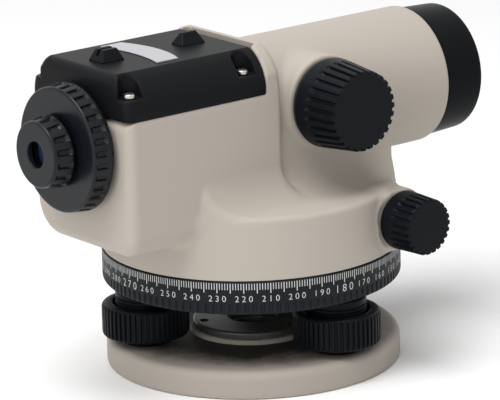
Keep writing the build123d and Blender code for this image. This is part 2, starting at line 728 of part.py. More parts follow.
# ================================================================ objective end
with BuildPart() as objective_hood:
    turn(tele_plane, tele_axis, (tube_front_x - hood_spigot, hood_bore_r),
         (tube_front_x - hood_spigot, tube_bore_r - seat_gap),
         (tube_front_x, tube_bore_r - seat_gap), (tube_front_x, hood_r - 0.4),
         (tube_front_x + 0.4, hood_r),
         (hood_front_x - 0.8, hood_front_r), (hood_front_x, hood_front_r - 0.8),
         (hood_front_x, hood_bore_r + 0.6),
         (hood_front_x - 1.4, hood_bore_r))
keep(objective_hood, "objective_hood")

cell_front_x = tube_front_x - hood_spigot
cell_rear_x = cell_front_x - cell_len
lens_rear_x = cell_rear_x + 3.0
with BuildPart() as objective_cell:
    turn(tele_plane, tele_axis, (cell_rear_x, lens_r - 1.5), (cell_rear_x, tube_bore_r - seat_gap),
         (cell_front_x, tube_bore_r - seat_gap), (cell_front_x, lens_r + seat_gap),
         (lens_rear_x, lens_r + seat_gap),
         (lens_rear_x, lens_r - 1.5))
keep(objective_cell, "objective_cell")

with BuildPart() as objective_lens:
    lens(lens_rear_x, lens_rear_x + lens_t, lens_r, -lens_sag, lens_sag)
keep(objective_lens, "objective_lens")

# ================================================================ focusing
pinion_r = pinion_teeth * gear_module / 2
rack_pitch = pi * gear_module
rack_line_z = focus_z - pinion_r
guide_r = guide_bore_r + guide_wall

with BuildPart() as focus_guide:
    disc(along_x(guide_rear_x), guide_r, guide_len, bore=guide_bore_r)
    for x in (guide_rear_x, guide_rear_x + guide_len - 3):
        disc(along_x(x), tube_bore_r - seat_gap, 3, bore=guide_bore_r)
    with Locations((guide_rear_x + guide_len / 2, -rack_y, rack_line_z - rack_back_t / 2)):
        Box(2 * guide_len, 4 * rack_w, rack_room, mode=Mode.SUBTRACT)
keep(focus_guide, "focus_guide")

with BuildPart() as focus_carriage:
    disc(along_x(carriage_x), guide_bore_r - fit_gap, carriage_len, bore=carriage_bore_r)
    rack_half = focus_travel + 3 * rack_pitch
    rack_z = rack_line_z - gear_module
    with Locations((focus_x, -rack_y, rack_z - rack_back_t / 2)):
        Box(2 * rack_half, rack_w, rack_back_t)
    arm_w = rack_y - guide_bore_r + rack_w / 2
    with Locations((carriage_x + carriage_len / 2, -rack_y + arm_w / 2, rack_z - rack_back_t / 2)):
        Box(carriage_len / 2, arm_w, arm_t)
    tooth_count = int(2 * rack_half / rack_pitch) - 1
    with BuildSketch(facing_y(focus_x, -rack_y + rack_w / 2, rack_z)) as rack_teeth:
        with GridLocations(rack_pitch, 1, tooth_count + tooth_count % 2, 1):
            Rectangle(rack_pitch * 0.34, 2 * gear_module * 0.85, align=(Align.CENTER, Align.MIN))
    extrude(rack_teeth.sketch, amount=rack_w)
keep(focus_carriage, "focus_carriage")

with BuildPart() as focus_lens:
    lens(carriage_x + focus_lens_inset, carriage_x + focus_lens_inset + focus_lens_t,
         carriage_bore_r - seat_gap,
         -focus_lens_sag, -focus_lens_sag)
keep(focus_lens, "focus_lens")

with BuildPart() as focus_bush:
    disc(facing_y(focus_x, -rack_y - rack_w / 2 - 2.0, focus_z), focus_bush_r,
         focus_boss_y - rack_y - rack_w / 2 - 2.0, bore=focus_shaft_r + fit_gap)
keep(focus_bush, "focus_bush")

with BuildPart() as focus_shaft:
    shaft_end_y = focus_knob_face_y - 4
    disc(facing_y(focus_x, -rack_y + rack_w / 2 + 0.5, focus_z), focus_shaft_r,
         shaft_end_y - rack_y + rack_w / 2 + 0.5)
    with BuildSketch(facing_y(focus_x, -rack_y + rack_w / 2 - 0.1, focus_z)) as pinion_section:
        Circle(pinion_r - gear_module * 1.0)
        with PolarLocations(0, pinion_teeth, start_angle=90):
            with Locations((pinion_r - gear_module * 0.7, 0)):
                Rectangle(gear_module * 2.8, rack_pitch * 0.32)
    extrude(pinion_section.sketch, amount=rack_w - 0.2)
keep(focus_shaft, "focus_shaft")

with BuildPart() as focus_knob:
    rear_y = focus_knob_rear_y
    knob_len = focus_knob_len
    bore_r = focus_shaft_r + seat_gap
    turn(focus_plane, focus_axis, (-rear_y, bore_r), (-rear_y, focus_knob_rear_r - 1.6),
         (-rear_y - 1.2, focus_knob_rear_r - 0.3), (-rear_y - 3.5, focus_knob_rear_r),
         (-rear_y - 5.5, focus_knob_rear_r - 0.4),
         (-focus_knob_face_y + 0.8, focus_knob_r), (-focus_knob_face_y, focus_knob_r - 0.8),
         (-focus_knob_face_y, 0),
         (-shaft_end_y - 0.1, 0), (-shaft_end_y - 0.1, bore_r))
    focus_taper = degrees((focus_knob_rear_r - 0.4 - focus_knob_r) / (knob_len - 6.3))
    rib_len = knob_len - 8.0
    grooves(facing_y(focus_x, -focus_knob_face_y + rib_len / 2 - 0.5, focus_z),
            (focus_knob_r + focus_knob_rear_r - 0.4) / 2, focus_ribs, 0.7, 1.4, rib_len,
            taper=-focus_taper)
keep(focus_knob, "focus_knob")

# ================================================================ eyepiece
with BuildPart() as eyepiece_mount:
    turn(tele_plane, tele_axis, (mount_tube_end_x, barrel_r + fit_gap), (mount_tube_end_x, mount_tube_r),
         (box_rear_x - mount_flange_t, mount_tube_r), (box_rear_x - mount_flange_t, mount_flange_r),
         (box_rear_x, mount_flange_r), (box_rear_x, mount_inner_r), (mount_inner_x, mount_inner_r),
         (mount_inner_x, reticle_bay_r), (barrel_field_x + diopter_travel, reticle_bay_r),
         (barrel_field_x + diopter_travel, barrel_r + fit_gap))
    for angle in (0, 90, 180, 270):
        side_plane = Plane(origin=(reticle_x, 0, axis_z), x_dir=(1, 0, 0),
                           z_dir=(0, cos(radians(angle)), sin(radians(angle))))
        disc(side_plane, 1.0 + seat_gap, mount_inner_r + 1, mode=Mode.SUBTRACT)
keep(eyepiece_mount, "eyepiece_mount")

reticle_cell_r = reticle_bay_r - air_gap
with BuildPart() as reticle_cell:
    disc(along_x(reticle_x - 2.0), reticle_cell_r, 4.0, bore=reticle_r + seat_gap)
keep(reticle_cell, "reticle_cell")

with BuildPart() as reticle_glass:
    disc(along_x(reticle_x - 0.8), reticle_r, 1.6)
keep(reticle_glass, "reticle_glass")

with BuildPart() as reticle_screws:
    for angle in (0, 90, 180, 270):
        screw_plane = Plane(origin=(reticle_x, reticle_cell_r * cos(radians(angle)),
                                    axis_z + reticle_cell_r * sin(radians(angle))),
                            x_dir=(1, 0, 0), z_dir=(0, cos(radians(angle)), sin(radians(angle))))
        disc(screw_plane, 1.0, mount_inner_r + 1.0 - reticle_cell_r)
keep(reticle_screws, "reticle_screws")

with BuildPart() as eyepiece_cap:
    turn(tele_plane, tele_axis, (cap_face_x, mount_tube_r + seat_gap), (cap_face_x, cap_face_r - 0.8),
         (cap_face_x + 0.8, cap_face_r), (cap_rear_x - 0.8, cap_rear_r), (cap_rear_x, cap_rear_r - 0.8),
         (cap_rear_x, mount_flange_r + 0.3), (cap_face_x + 2.6, mount_flange_r + 0.3),
         (cap_face_x + 2.6, mount_tube_r + seat_gap))
    cap_mid = (cap_face_x + 0.9 + cap_rear_x - 3.2) / 2
    grooves(along_x(cap_mid), (cap_face_r + cap_rear_r) / 2, cap_notches, 0.8, 2.6,
            cap_rear_x - cap_face_x - 4.4)
keep(eyepiece_cap, "eyepiece_cap")

with BuildPart() as eyepiece_barrel:
    disc(along_x(barrel_eye_x), barrel_r, barrel_field_x - barrel_eye_x, bore=barrel_bore_r)
keep(eyepiece_barrel, "eyepiece_barrel")

with BuildPart() as eye_lens:
    lens(barrel_eye_x + 2 * eye_lens_sag, barrel_eye_x + 2 * eye_lens_sag + eye_lens_t,
         barrel_bore_r - seat_gap,
         eye_lens_sag, eye_lens_sag)
keep(eye_lens, "eye_lens")

with BuildPart() as field_lens:
    disc(along_x(barrel_field_x - 5.0), barrel_bore_r - seat_gap, 3.5)
keep(field_lens, "field_lens")

dial_wall_x = barrel_eye_x - diopter_travel - air_gap
with BuildPart() as diopter_dial:
    turn(tele_plane, tele_axis, (dial_face_x, dial_hole_r), (dial_face_x, dial_face_r - 0.7),
         (dial_face_x + 0.7, dial_face_r), (dial_rear_x - 0.7, dial_rear_r),
         (dial_rear_x, dial_rear_r - 0.7),
         (dial_rear_x, barrel_r + fit_gap), (dial_wall_x, barrel_r + fit_gap), (dial_wall_x, dial_hole_r))
    dial_taper = degrees((dial_rear_r - dial_face_r) / (dial_rear_x - dial_face_x))
    grooves(along_x((dial_face_x + dial_rear_x) / 2), (dial_face_r + dial_rear_r) / 2, dial_notches, 0.7,
            2.0,
            (dial_rear_x - dial_face_x) * 0.55, taper=dial_taper)
keep(diopter_dial, "diopter_dial")

# ================================================================ compensator
with BuildPart() as compensator_frame:
    with Locations((comp_x, 0, chamber_floor_z + frame_plate_t / 2)):
        Box(2 * comp_half_len, 2 * comp_half_w, frame_plate_t)
    for side in (-1, 1):
        with Locations((comp_x, side * (comp_half_w - comp_wall / 2), (chamber_floor_z + comp_top_z) / 2)):
            Box(2 * comp_half_len, comp_wall, comp_top_z - chamber_floor_z)
    with Locations((comp_x, 0, comp_top_z - frame_plate_t / 2)):
        Box(comp_half_len, 2 * comp_half_w, frame_plate_t)
keep(compensator_frame, "compensator_frame")

with BuildPart() as fixed_prism:
    prism_w = 2 * (comp_half_w - comp_wall)
    with BuildSketch(facing_y(comp_x - comp_half_len / 2, prism_w / 2, axis_z)) as fixed_section:
        Polygon((prism_rear, -prism_half_h), (prism_waist, -prism_half_h), (prism_front, prism_half_h),
                (prism_rear, prism_half_h), align=None)
    extrude(fixed_section.sketch, amount=prism_w)
keep(fixed_prism, "fixed_prism")

arm_z = comp_top_z - frame_plate_t - wire_len
hanger_y = pendulum_half_w + hanger_w / 2
with BuildPart() as pendulum:
    with Locations((pendulum_x, 0, pendulum_z + pendulum_t / 2)):
        Box(pendulum_len, 2 * pendulum_half_w, pendulum_t)
    for side in (-1, 1):
        with Locations((hanger_x, side * hanger_y, (pendulum_z + arm_z) / 2)):
            Box(hanger_len, hanger_w, arm_z - pendulum_z)
        with Locations((hanger_x, side * pendulum_half_w, pendulum_z + pendulum_t / 2)):
            Box(hanger_len, hanger_w, pendulum_t)
    disc(level(pendulum_z - damper_dip, pendulum_x), damper_r, damper_t)
keep(pendulum, "pendulum")

with BuildPart() as pendulum_prism:
    prism_seat = facing_y(pendulum_x + swing_prism_shift, pendulum_half_w - air_gap,
                          pendulum_z + pendulum_t)
    with BuildSketch(prism_seat) as swing_section:
        Polygon((-swing_prism_len, 0), (0, 0), (0, swing_prism_lip), (-swing_prism_flat, swing_prism_h),
                (-swing_prism_len, swing_prism_h), align=None)
    extrude(swing_section.sketch, amount=2 * (pendulum_half_w - air_gap))
keep(pendulum_prism, "pendulum_prism")

with BuildPart() as suspension_wires:
    for side in (-1, 1):
        for shift in (-1, 1):
            disc(level(arm_z, hanger_x + shift * hanger_len / 4, side * hanger_y), wire_r, wire_len)
keep(suspension_wires, "suspension_wires")

with BuildPart() as damper_cup:
    cup_floor_z = chamber_floor_z + frame_plate_t
    disc(level(cup_floor_z, pendulum_x), damper_r + damper_play + damper_wall, damper_cup_h)
    disc(level(cup_floor_z + damper_wall * 2 / 3, pendulum_x), damper_r + damper_play, damper_cup_h,
         mode=Mode.SUBTRACT)
keep(damper_cup, "damper_cup")

# ================================================================ circular bubble and mirror
with BuildPart() as vial_holder:
    disc(level(shelf_z, vial_x, vial_y), vial_holder_r, vial_holder_h)
    disc(level(shelf_z + vial_floor_t, vial_x, vial_y), vial_r + seat_gap, vial_holder_h,
         mode=Mode.SUBTRACT)
keep(vial_holder, "vial_holder")

with BuildPart() as bubble_vial:
    disc(level(shelf_z + vial_floor_t, vial_x, vial_y), vial_r, vial_holder_h - vial_floor_t - vial_set_in)
keep(bubble_vial, "bubble_vial")

bracket_y = box_half_w + bracket_t
with BuildPart() as mirror_bracket:
    with Locations((mirror_pin_x + bracket_h / 2 - bracket_len / 2, box_half_w + bracket_t / 2,
                    mirror_pin_z)):
        Box(bracket_len, bracket_t, bracket_h)
    disc(facing_y(mirror_pin_x, bracket_y, mirror_pin_z, 1), mirror_pin_r, mirror_w + 3 * air_gap)
keep(mirror_bracket, "mirror_bracket")

mirror_y = bracket_y + air_gap
mirror_plane = Plane(origin=(mirror_pin_x, mirror_y, mirror_pin_z),
                     x_dir=(-cos(radians(mirror_angle)), 0, sin(radians(mirror_angle))), z_dir=(0, 1, 0))
glass_len = mirror_len - mirror_boss_r - 3 * mirror_margin
glass_mid = mirror_boss_r + mirror_margin + glass_len / 2
with BuildPart() as mirror_frame:
    disc(facing_y(mirror_pin_x, mirror_y, mirror_pin_z, 1), mirror_boss_r, mirror_w)
    with BuildSketch(mirror_plane) as frame_section:
        with Locations((mirror_len / 2, 0)):
            Rectangle(mirror_len, mirror_t)
    extrude(frame_section.sketch, amount=mirror_w)
    with BuildSketch(mirror_plane.offset(mirror_margin)) as glass_well:
        for side in (-1, 1):
            with Locations((glass_mid, side * mirror_t / 2)):
                Rectangle(glass_len, 2 * mirror_glass_t)
    extrude(glass_well.sketch, amount=mirror_w - 2 * mirror_margin, mode=Mode.SUBTRACT)
    disc(facing_y(mirror_pin_x, mirror_y, mirror_pin_z, 1), mirror_pin_r + fit_gap, mirror_w,
         mode=Mode.SUBTRACT)
keep(mirror_frame, "mirror_frame")

with BuildPart() as mirror_glass:
    glass_side = 1 if mirror_plane.y_dir.Z < 0 else -1
    with BuildSketch(mirror_plane.offset(mirror_margin + seat_gap)) as glass_section:
        with Locations((glass_mid, glass_side * (mirror_t - mirror_glass_t) / 2)):
            Rectangle(glass_len - 2 * seat_gap, mirror_glass_t)
    extrude(glass_section.sketch, amount=mirror_w - 2 * (mirror_margin + seat_gap))
keep(mirror_glass, "mirror_glass")
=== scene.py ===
import json
import math

import bmesh
import bpy
import numpy as np
from mathutils import Matrix, Vector


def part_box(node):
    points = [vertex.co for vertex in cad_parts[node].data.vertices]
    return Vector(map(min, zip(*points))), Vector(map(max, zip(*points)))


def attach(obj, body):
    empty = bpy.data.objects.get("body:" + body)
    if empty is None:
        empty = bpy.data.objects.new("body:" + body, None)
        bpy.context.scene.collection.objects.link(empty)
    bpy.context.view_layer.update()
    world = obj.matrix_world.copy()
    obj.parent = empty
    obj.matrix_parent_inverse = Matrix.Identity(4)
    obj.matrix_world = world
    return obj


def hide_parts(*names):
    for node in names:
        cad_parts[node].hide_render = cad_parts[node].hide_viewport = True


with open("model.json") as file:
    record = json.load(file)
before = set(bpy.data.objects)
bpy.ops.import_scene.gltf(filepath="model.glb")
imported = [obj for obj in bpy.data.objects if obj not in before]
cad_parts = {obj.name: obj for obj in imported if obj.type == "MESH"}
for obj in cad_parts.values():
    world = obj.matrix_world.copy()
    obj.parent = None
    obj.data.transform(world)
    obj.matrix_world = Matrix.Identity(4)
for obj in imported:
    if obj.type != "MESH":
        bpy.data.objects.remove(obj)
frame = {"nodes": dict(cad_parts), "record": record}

bl_info = {
    "name": "Automatic Level",
    "version": (1, 0, 0),
    "blender": (4, 5, 0),
    "location": "3D View > Sidebar > Level",
    "description": "Builds the visible pieces of a surveyor's automatic level over its frame",
    "category": "Object",
}

MM = 0.001
TURN = 2.0 * math.pi


# ------------------------------------------------------------------ sizes and colours
def length(name, description, millimetres):
    """A length property, given in millimetres and kept in metres."""
    return bpy.props.FloatProperty(name=name, description=description, default=millimetres * MM,
                                   unit="LENGTH")


def angle(name, description, degrees):
    """An angle property, given in degrees."""
    return bpy.props.FloatProperty(name=name, description=description, default=math.radians(degrees),
                                   subtype="ANGLE")


def amount(name, description, value, unit="NONE"):
    """A number property that doesn't go below zero."""
    return bpy.props.FloatProperty(name=name, description=description, default=value, min=0.0, unit=unit)


def tint(name, description, *rgb):
    """A colour property in linear light."""
    return bpy.props.FloatVectorProperty(name=name, description=description, default=rgb, size=3,
                                         min=0.0, max=1.0, subtype="COLOR")


class LevelSizes(bpy.types.PropertyGroup):
    """Sizes of the housing, the cover and the circle's marks."""
    axis_height: length("Axis height", "Height of the telescope's axis above the base", 96.5)
    shelf_height: length("Shelf height", "Height of the drum's top", 69.0)
    rim_ease: length("Rim ease", "Rounding of the drum's upper rim", 2.0)
    sweep: length("Sweep", "Radius of the concave sweep from the walls to the shelf", 14.0)
    box_floor: length("Box floor", "Height of the underside of the prism box", 58.5)
    box_half_width: length("Box half width", "Half the width of the prism box", 29.8)
    box_front: length("Box front", "Where the prism box gives way to the tube, towards the objective", -7.5)
    seam: length("Seam", "Height of the joint between the housing and the cover", 109.5)
    tube_radius: length("Tube radius", "Outer radius of the telescope tube", 26.5)
    pedestal_sweep: length("Pedestal sweep", "Radius of the sweep from the pedestal to the shelf", 14.0)
    tube_bore: length("Tube bore", "Radius of the bore of the telescope tube", 23.6)
    pedestal_half_width: length("Pedestal half width", "Half the width of the pedestal under the tube", 26.0)
    pedestal_front: length("Pedestal front", "Front of the pedestal under the tube", 50.5)
    band_rise: length("Band rise", "How far the arched band stands above the cover", 0.8)
    focus_boss: length("Focusing boss", "Radius of the boss under the focusing knob", 17.4)
    tangent_boss: length("Tangent boss", "Radius of the bosses under the tangent knobs", 11.8)
    tick_short: length("Short tick", "Height of a one degree tick", 2.44)
    tick_long: length("Long tick", "Height of a five degree tick", 3.75)
    figure_height: length("Figure height", "Height of the figures on the circle", 2.44)
    figure_drop: length("Figure drop", "Middle of the figures below the circle's top", 6.3)
    zero_bearing: angle("Zero bearing", "Bearing of the circle's zero mark", 88.6)


class LevelColours(bpy.types.PropertyGroup):
    """Colours of the finishes."""
    cream: tint("Cream paint", "Paint of the housing", 0.450, 0.404, 0.354)
    # the base colour is the cream paint darkened by 0.88: painted shade on the base plate
    base: tint("Base paint", "Paint of the base plate", 0.396, 0.356, 0.312)
    knob: tint("Knob plastic", "Plastic of the knobs", 0.0045, 0.0058, 0.0080)
    cover: tint("Cover plastic", "Plastic of the top cover and the sights", 0.0065, 0.0070, 0.0080)
    anodised: tint("Black anodising", "Anodised parts", 0.0050, 0.0060, 0.0070)
    circle: tint("Circle", "Anodising of the degree circle", 0.0100, 0.0120, 0.0150)
    marks: tint("Marks", "Ticks and figures of the circle", 0.60, 0.61, 0.60)
    clamp: tint("Clamp disc", "Hard anodising of the clamp disc", 0.055, 0.056, 0.050)
    plate: tint("Plate", "Sight plate on the cover", 0.42, 0.415, 0.44)
    steel: tint("Steel", "Bare steel parts", 0.50, 0.50, 0.50)
    brass: tint("Brass", "Brass parts", 0.62, 0.46, 0.22)
    nickel: tint("Nickel", "Cover screws", 0.52, 0.48, 0.45)
    lens: tint("Lens coating", "Coating of the lenses", 0.050, 0.110, 0.260)


class LevelView(bpy.types.PropertyGroup):
    """The camera and the light."""
    bearing: angle("Bearing", "Bearing of the camera, from the back towards the left", -38.29)
    elevation: angle("Elevation", "Height angle of the camera", 15.81)
    roll: angle("Roll", "Roll of the camera about its own axis", -1.47)
    distance: length("Distance", "Distance from the camera to the point that it faces", 1354.5)
    aim: bpy.props.FloatVectorProperty(name="Aim", description="Point that the camera faces", size=3,
                                       default=(-1.119 * MM, -1.509 * MM, 61.10 * MM),
                                       subtype="TRANSLATION")
    lens: amount("Lens", "Focal length in millimetres", 258.62)
    daylight: amount("Daylight", "Strength of the even light all round", 0.44)
    key_power: amount("Key power", "Power of the overhead soft light", 32.0, "POWER")
    side_power: amount("Side power", "Power of the soft light on the left", 7.0, "POWER")


# ------------------------------------------------------------------ the frame's pieces, in millimetres
class Span:
    """The box of a frame node at rest."""

    def __init__(self, node):
        low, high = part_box(node)
        self.x0, self.y0, self.z0 = (v / MM for v in low)
        self.x1, self.y1, self.z1 = (v / MM for v in high)
        self.low = (self.x0, self.y0, self.z0)
        self.high = (self.x1, self.y1, self.z1)
        self.x, self.y, self.z = ((a + b) / 2 for a, b in zip(self.low, self.high))


def spans(*nodes):
    """The boxes of several frame nodes."""
    return [Span(node) for node in nodes]


def sizes():
    """The sizes by name, lengths in millimetres and the bearing in radians."""
    values = bpy.context.scene.level_sizes
    return {name: getattr(values, name) / (1.0 if name == "zero_bearing" else MM)
            for name in LevelSizes.__annotations__}


def net(name, points, faces):
    """A mesh from points in millimetres."""
    mesh = bpy.data.meshes.new(name + "_mesh")
    mesh.from_pydata((np.asarray(points, float) * MM).tolist(), [], faces)
    return mesh


def place(name, mesh, body, material, sharp=35.0, node=None):
    """Put a finished mesh in the scene: smooth, painted, riding on its body, and in its node's place."""
    mesh.set_sharp_from_angle(angle=math.radians(sharp))
    mesh.polygons.foreach_set("use_smooth", [True] * len(mesh.polygons))
    piece = bpy.data.objects.new(name, mesh)
    bpy.context.scene.collection.objects.link(piece)
    mesh.materials.append(finish(material))
    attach(piece, body)
    if node:
        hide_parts(node)


def dress(node, mesh, body, material, sharp=35.0):
    """Put a mesh in the place of the frame's node of that name."""
    place(node + "_skin", mesh, body, material, sharp, node)


# ------------------------------------------------------------------ turned pieces
def eased(outline, turns=5):
    """The closed outline with each corner that has an ease replaced by an arc."""
    share_of_run, nearly_straight, tiny = 0.48, 0.02, 1e-6
    result = []
    count = len(outline)
    for i, corner in enumerate(outline):
        here = np.array(corner[:2], float)
        ease = corner[2] if len(corner) > 2 else 0.0
        back = np.array(outline[i - 1][:2], float) - here
        ahead = np.array(outline[(i + 1) % count][:2], float) - here
        back_len, ahead_len = np.hypot(*back), np.hypot(*ahead)
        if ease <= 0.0 or min(back_len, ahead_len) < tiny:
            result.append(here)
            continue
        back /= back_len
        ahead /= ahead_len
        half = math.acos(max(-1.0, min(1.0, float(back @ ahead)))) / 2
        if half > math.pi / 2 - nearly_straight:
            result.append(here)
            continue
        reach = min(ease / math.tan(half), share_of_run * min(back_len, ahead_len))
        radius = reach * math.tan(half)
        bisector = back + ahead
        centre = here + bisector / np.hypot(*bisector) * radius / math.sin(half)
        start, stop = here + back * reach - centre, here + ahead * reach - centre
        sweep = math.atan2(start[0] * stop[1] - start[1] * stop[0], start @ stop)
        for k in range(turns + 1):
            c, s = math.cos(sweep * k / turns), math.sin(sweep * k / turns)
            result.append(centre + np.array([start[0] * c - start[1] * s, start[0] * s + start[1] * c]))
    return result


def divided(outline, step):
    """The closed outline with its long runs cut into short ones."""
    result = []
    for a, b in zip(outline, outline[1:] + outline[:1]):
        parts = max(1, int(math.ceil(np.hypot(*(b - a)) / step)))
        result += [a + (b - a) * k / parts for k in range(parts)]
    return np.array(result)


def lathe(name, outline, base, axis, segments=128, relief=None, step=50.0):
    """Turn a closed outline of (along, radius, ease) about an axis.

    relief(along, radius, angle) is how deep the surface sinks there.
    """
    profile = divided(eased(outline), step)
    along, radius = profile[:, 0:1], profile[:, 1:2]
    bearing = (np.arange(segments) * TURN / segments)[None, :]
    depth = relief(along, radius, bearing) if relief else np.zeros((len(profile), segments))
    spread = np.maximum(radius - depth, 0.0)
    axis = np.array(axis, float)
    side = np.array([0.0, 0.0, 1.0]) if abs(axis[2]) < 0.5 else np.array([1.0, 0.0, 0.0])
    across = np.cross(axis, side)
    points = (np.array(base, float) + along[..., None] * axis + (spread * np.cos(bearing))[..., None] * side
              + (spread * np.sin(bearing))[..., None] * across)
    rows, columns = len(profile), segments
    i, j = np.meshgrid(np.arange(rows), np.arange(columns), indexing="ij")
    i2, j2 = (i + 1) % rows, (j + 1) % columns
    row, next_row = i * columns, i2 * columns
    faces = np.stack([row + j, row + j2, next_row + j2, next_row + j], -1).reshape(-1, 4)
    on_axis = profile[:, 1] < 1e-6
    keep = ~(on_axis[faces[:, 0] // columns] & on_axis[faces[:, 2] // columns])
    mesh = net(name, points.reshape(-1, 3), faces[keep].tolist())
    shape = bmesh.new()
    shape.from_mesh(mesh)
    bmesh.ops.remove_doubles(shape, verts=shape.verts, dist=1e-7)
    bmesh.ops.recalc_face_normals(shape, faces=shape.faces)
    shape.to_mesh(mesh)
    shape.free()
    return mesh


def smooth(low, high, value):
    """A soft step from 0 at low to 1 at high."""
    t = np.clip((value - low) / (high - low), 0.0, 1.0)
    return t * t * (3 - 2 * t)


def comb(bearing, count, share, soft=0.12):
    """1 in each of the evenly spaced grooves and 0 between them; share is the grooves' share of the turn."""
    t = np.abs(np.mod(bearing * count / TURN, 1.0) - 0.5) * 2
    return smooth(share + soft, share - soft, t)


def grooves(deep, count, share, ends, inner, soft=0.12):
    """A relief of even grooves that fade along at each of the ends, and inwards over inner."""
    def relief(along, radius, bearing):
        sunk = deep * comb(bearing, count, share, soft)
        for start, stop in ends:
            sunk = sunk * smooth(start, stop, along)
        return sunk * smooth(*inner, radius)
    return relief


# ------------------------------------------------------------------ cast and moulded pieces
# A field says how far each point lies outside a shape, in millimetres; inside the shape it is below zero.
def join(a, b, ease):
    """Both shapes, with a concave round where they meet."""
    return np.maximum(ease, np.minimum(a, b)) - np.hypot(np.maximum(ease - a, 0), np.maximum(ease - b, 0))


def meet(a, b, ease):
    """What the two shapes share, with its edge rounded."""
    return np.minimum(-ease, np.maximum(a, b)) + np.hypot(np.maximum(a + ease, 0), np.maximum(b + ease, 0))


def cut(a, b, ease=0.2):
    """The first shape without the second."""
    return meet(a, -b, ease)


def slab(value, low, high):
    """Between two planes."""
    return np.maximum(low - value, value - high)


def block(x, y, z, low, high, ease):
    """A box with all its edges rounded."""
    half = [(b - a) / 2 - ease for a, b in zip(low, high)]
    q = [np.abs(v - (a + b) / 2) - h for v, a, b, h in zip((x, y, z), low, high, half)]
    outside = np.sqrt(sum(np.maximum(v, 0) ** 2 for v in q))
    return outside + np.minimum(np.maximum(np.maximum(q[0], q[1]), q[2]), 0) - ease


def rod(a, b, along, radius, low, high, ease=0.2):
    """A round bar; a and b are measured across it."""
    return meet(np.hypot(a, b) - radius, slab(along, low, high), ease)


def relaxed(points, faces, field, cell, crease=None):
    """Even out the net and settle its points on the field's surface.

    crease is the (radius, height) of an edge that stays sharp.
    """
    evening, longest_step, probe, flattest = 0.6, 0.6 * cell, 0.02, 0.05
    held = np.zeros(len(points), bool)
    if crease:
        reach = np.hypot(points[:, 0], points[:, 1])
        held = (np.abs(reach - crease[0]) < 0.75 * cell) & (np.abs(points[:, 2] - crease[1]) < 0.5 * cell)
        edge = points[held]
        edge[:, :2] *= (crease[0] / reach[held])[:, None]
        edge[:, 2] = crease[1]
    for _ in range(2):
        middle = points[faces].mean(axis=1)
        total = np.zeros_like(points)
        count = np.zeros(len(points))
        for k in range(4):
            np.add.at(total, faces[:, k], middle)
            np.add.at(count, faces[:, k], 1)
        points = points + evening * (total / np.maximum(count, 1)[:, None] - points)
        if crease:
            points[held] = edge
        for _ in range(3):
            value = field(*points.T)
            slope = np.stack([(field(*(points + d).T) - field(*(points - d).T)) / (2 * probe)
                              for d in np.eye(3) * probe], 1)
            push = value[:, None] * slope / np.maximum((slope ** 2).sum(1), flattest)[:, None]
            size = np.sqrt((push ** 2).sum(1))
            points = points - push * np.minimum(1.0, longest_step / np.maximum(size, 1e-9))[:, None]
            if crease:
                points[held] = edge
    return points


def solid_mesh(name, field, low, high, cell, crease=None):
    """The surface of a field as a net of four-sided faces."""
    axes = [np.arange(a - 2 * cell, b + 2.5 * cell, cell) for a, b in zip(low, high)]
    x, y, z = np.meshgrid(*axes, indexing="ij", sparse=True)
    value = np.array(np.broadcast_to(field(x, y, z), [len(a) for a in axes]), float)
    inside = value < 0
    corners = [(i, j, k) for i in (0, 1) for j in (0, 1) for k in (0, 1)]
    wide, deep, tall = (count - 1 for count in inside.shape)
    filled = sum(inside[i:wide + i, j:deep + j, k:tall + k].astype(np.int8) for i, j, k in corners)
    mixed = (filled > 0) & (filled < 8)
    cells = np.argwhere(mixed)
    number = np.full(mixed.shape, -1, np.int64)
    number[mixed] = np.arange(len(cells))
    total = np.zeros((len(cells), 3))
    count = np.zeros(len(cells))
    for corner in corners:
        for way in range(3):
            if corner[way]:
                continue
            far = list(corner)
            far[way] = 1
            near_value = value[tuple((cells + corner).T)]
            far_value = value[tuple((cells + far).T)]
            change = (near_value < 0) != (far_value < 0)
            share = near_value[change] / (near_value[change] - far_value[change])
            point = np.tile(np.array(corner, float), (len(share), 1))
            point[:, way] += share
            total[change] += point
            count[change] += 1
    points = (cells + total / count[:, None]) * cell + np.array([a[0] for a in axes])
    faces = []
    for way in range(3):
        right, up = (way + 1) % 3, (way + 2) % 3
        first = [slice(None)] * 3
        second = [slice(None)] * 3
        first[way], second[way] = slice(0, -1), slice(1, None)
        edges = np.argwhere(inside[tuple(first)] != inside[tuple(second)])
        e_right, e_up = np.eye(3, dtype=int)[right], np.eye(3, dtype=int)[up]
        shifts = (e_right + e_up, e_up, 0 * e_up, e_right)
        quads = np.stack([number[tuple((edges - shift).T)] for shift in shifts], 1)
        leaving = inside[tuple(edges.T)]
        quads[~leaving] = quads[~leaving][:, ::-1]
        faces.append(quads)
    faces = np.concatenate(faces)
    points = relaxed(points, faces, field, cell, crease)
    return net(name, points, faces.tolist())


# ------------------------------------------------------------------ shader groups and finishes
def feed(tree, socket, value):
    """Give a socket a plain number or what another node puts out."""
    if isinstance(value, (int, float)):
        socket.default_value = value
    else:
        tree.links.new(value, socket)


def maths(tree, operation, *values):
    """What a math node makes of sockets or plain numbers."""
    node = tree.nodes.new("ShaderNodeMath")
    node.operation = operation
    for socket, value in zip(node.inputs, values):
        feed(tree, socket, value)
    return node.outputs[0]


def noise(tree, spot, scale, detail, roughness=0.5):
    """Noise over the coordinates of a spot; the scale is a number or a socket."""
    node = tree.nodes.new("ShaderNodeTexNoise")
    node.inputs["Detail"].default_value = detail
    node.inputs["Roughness"].default_value = roughness
    feed(tree, node.inputs["Scale"], scale)
    tree.links.new(spot, node.inputs["Vector"])
    return node.outputs["Fac"]


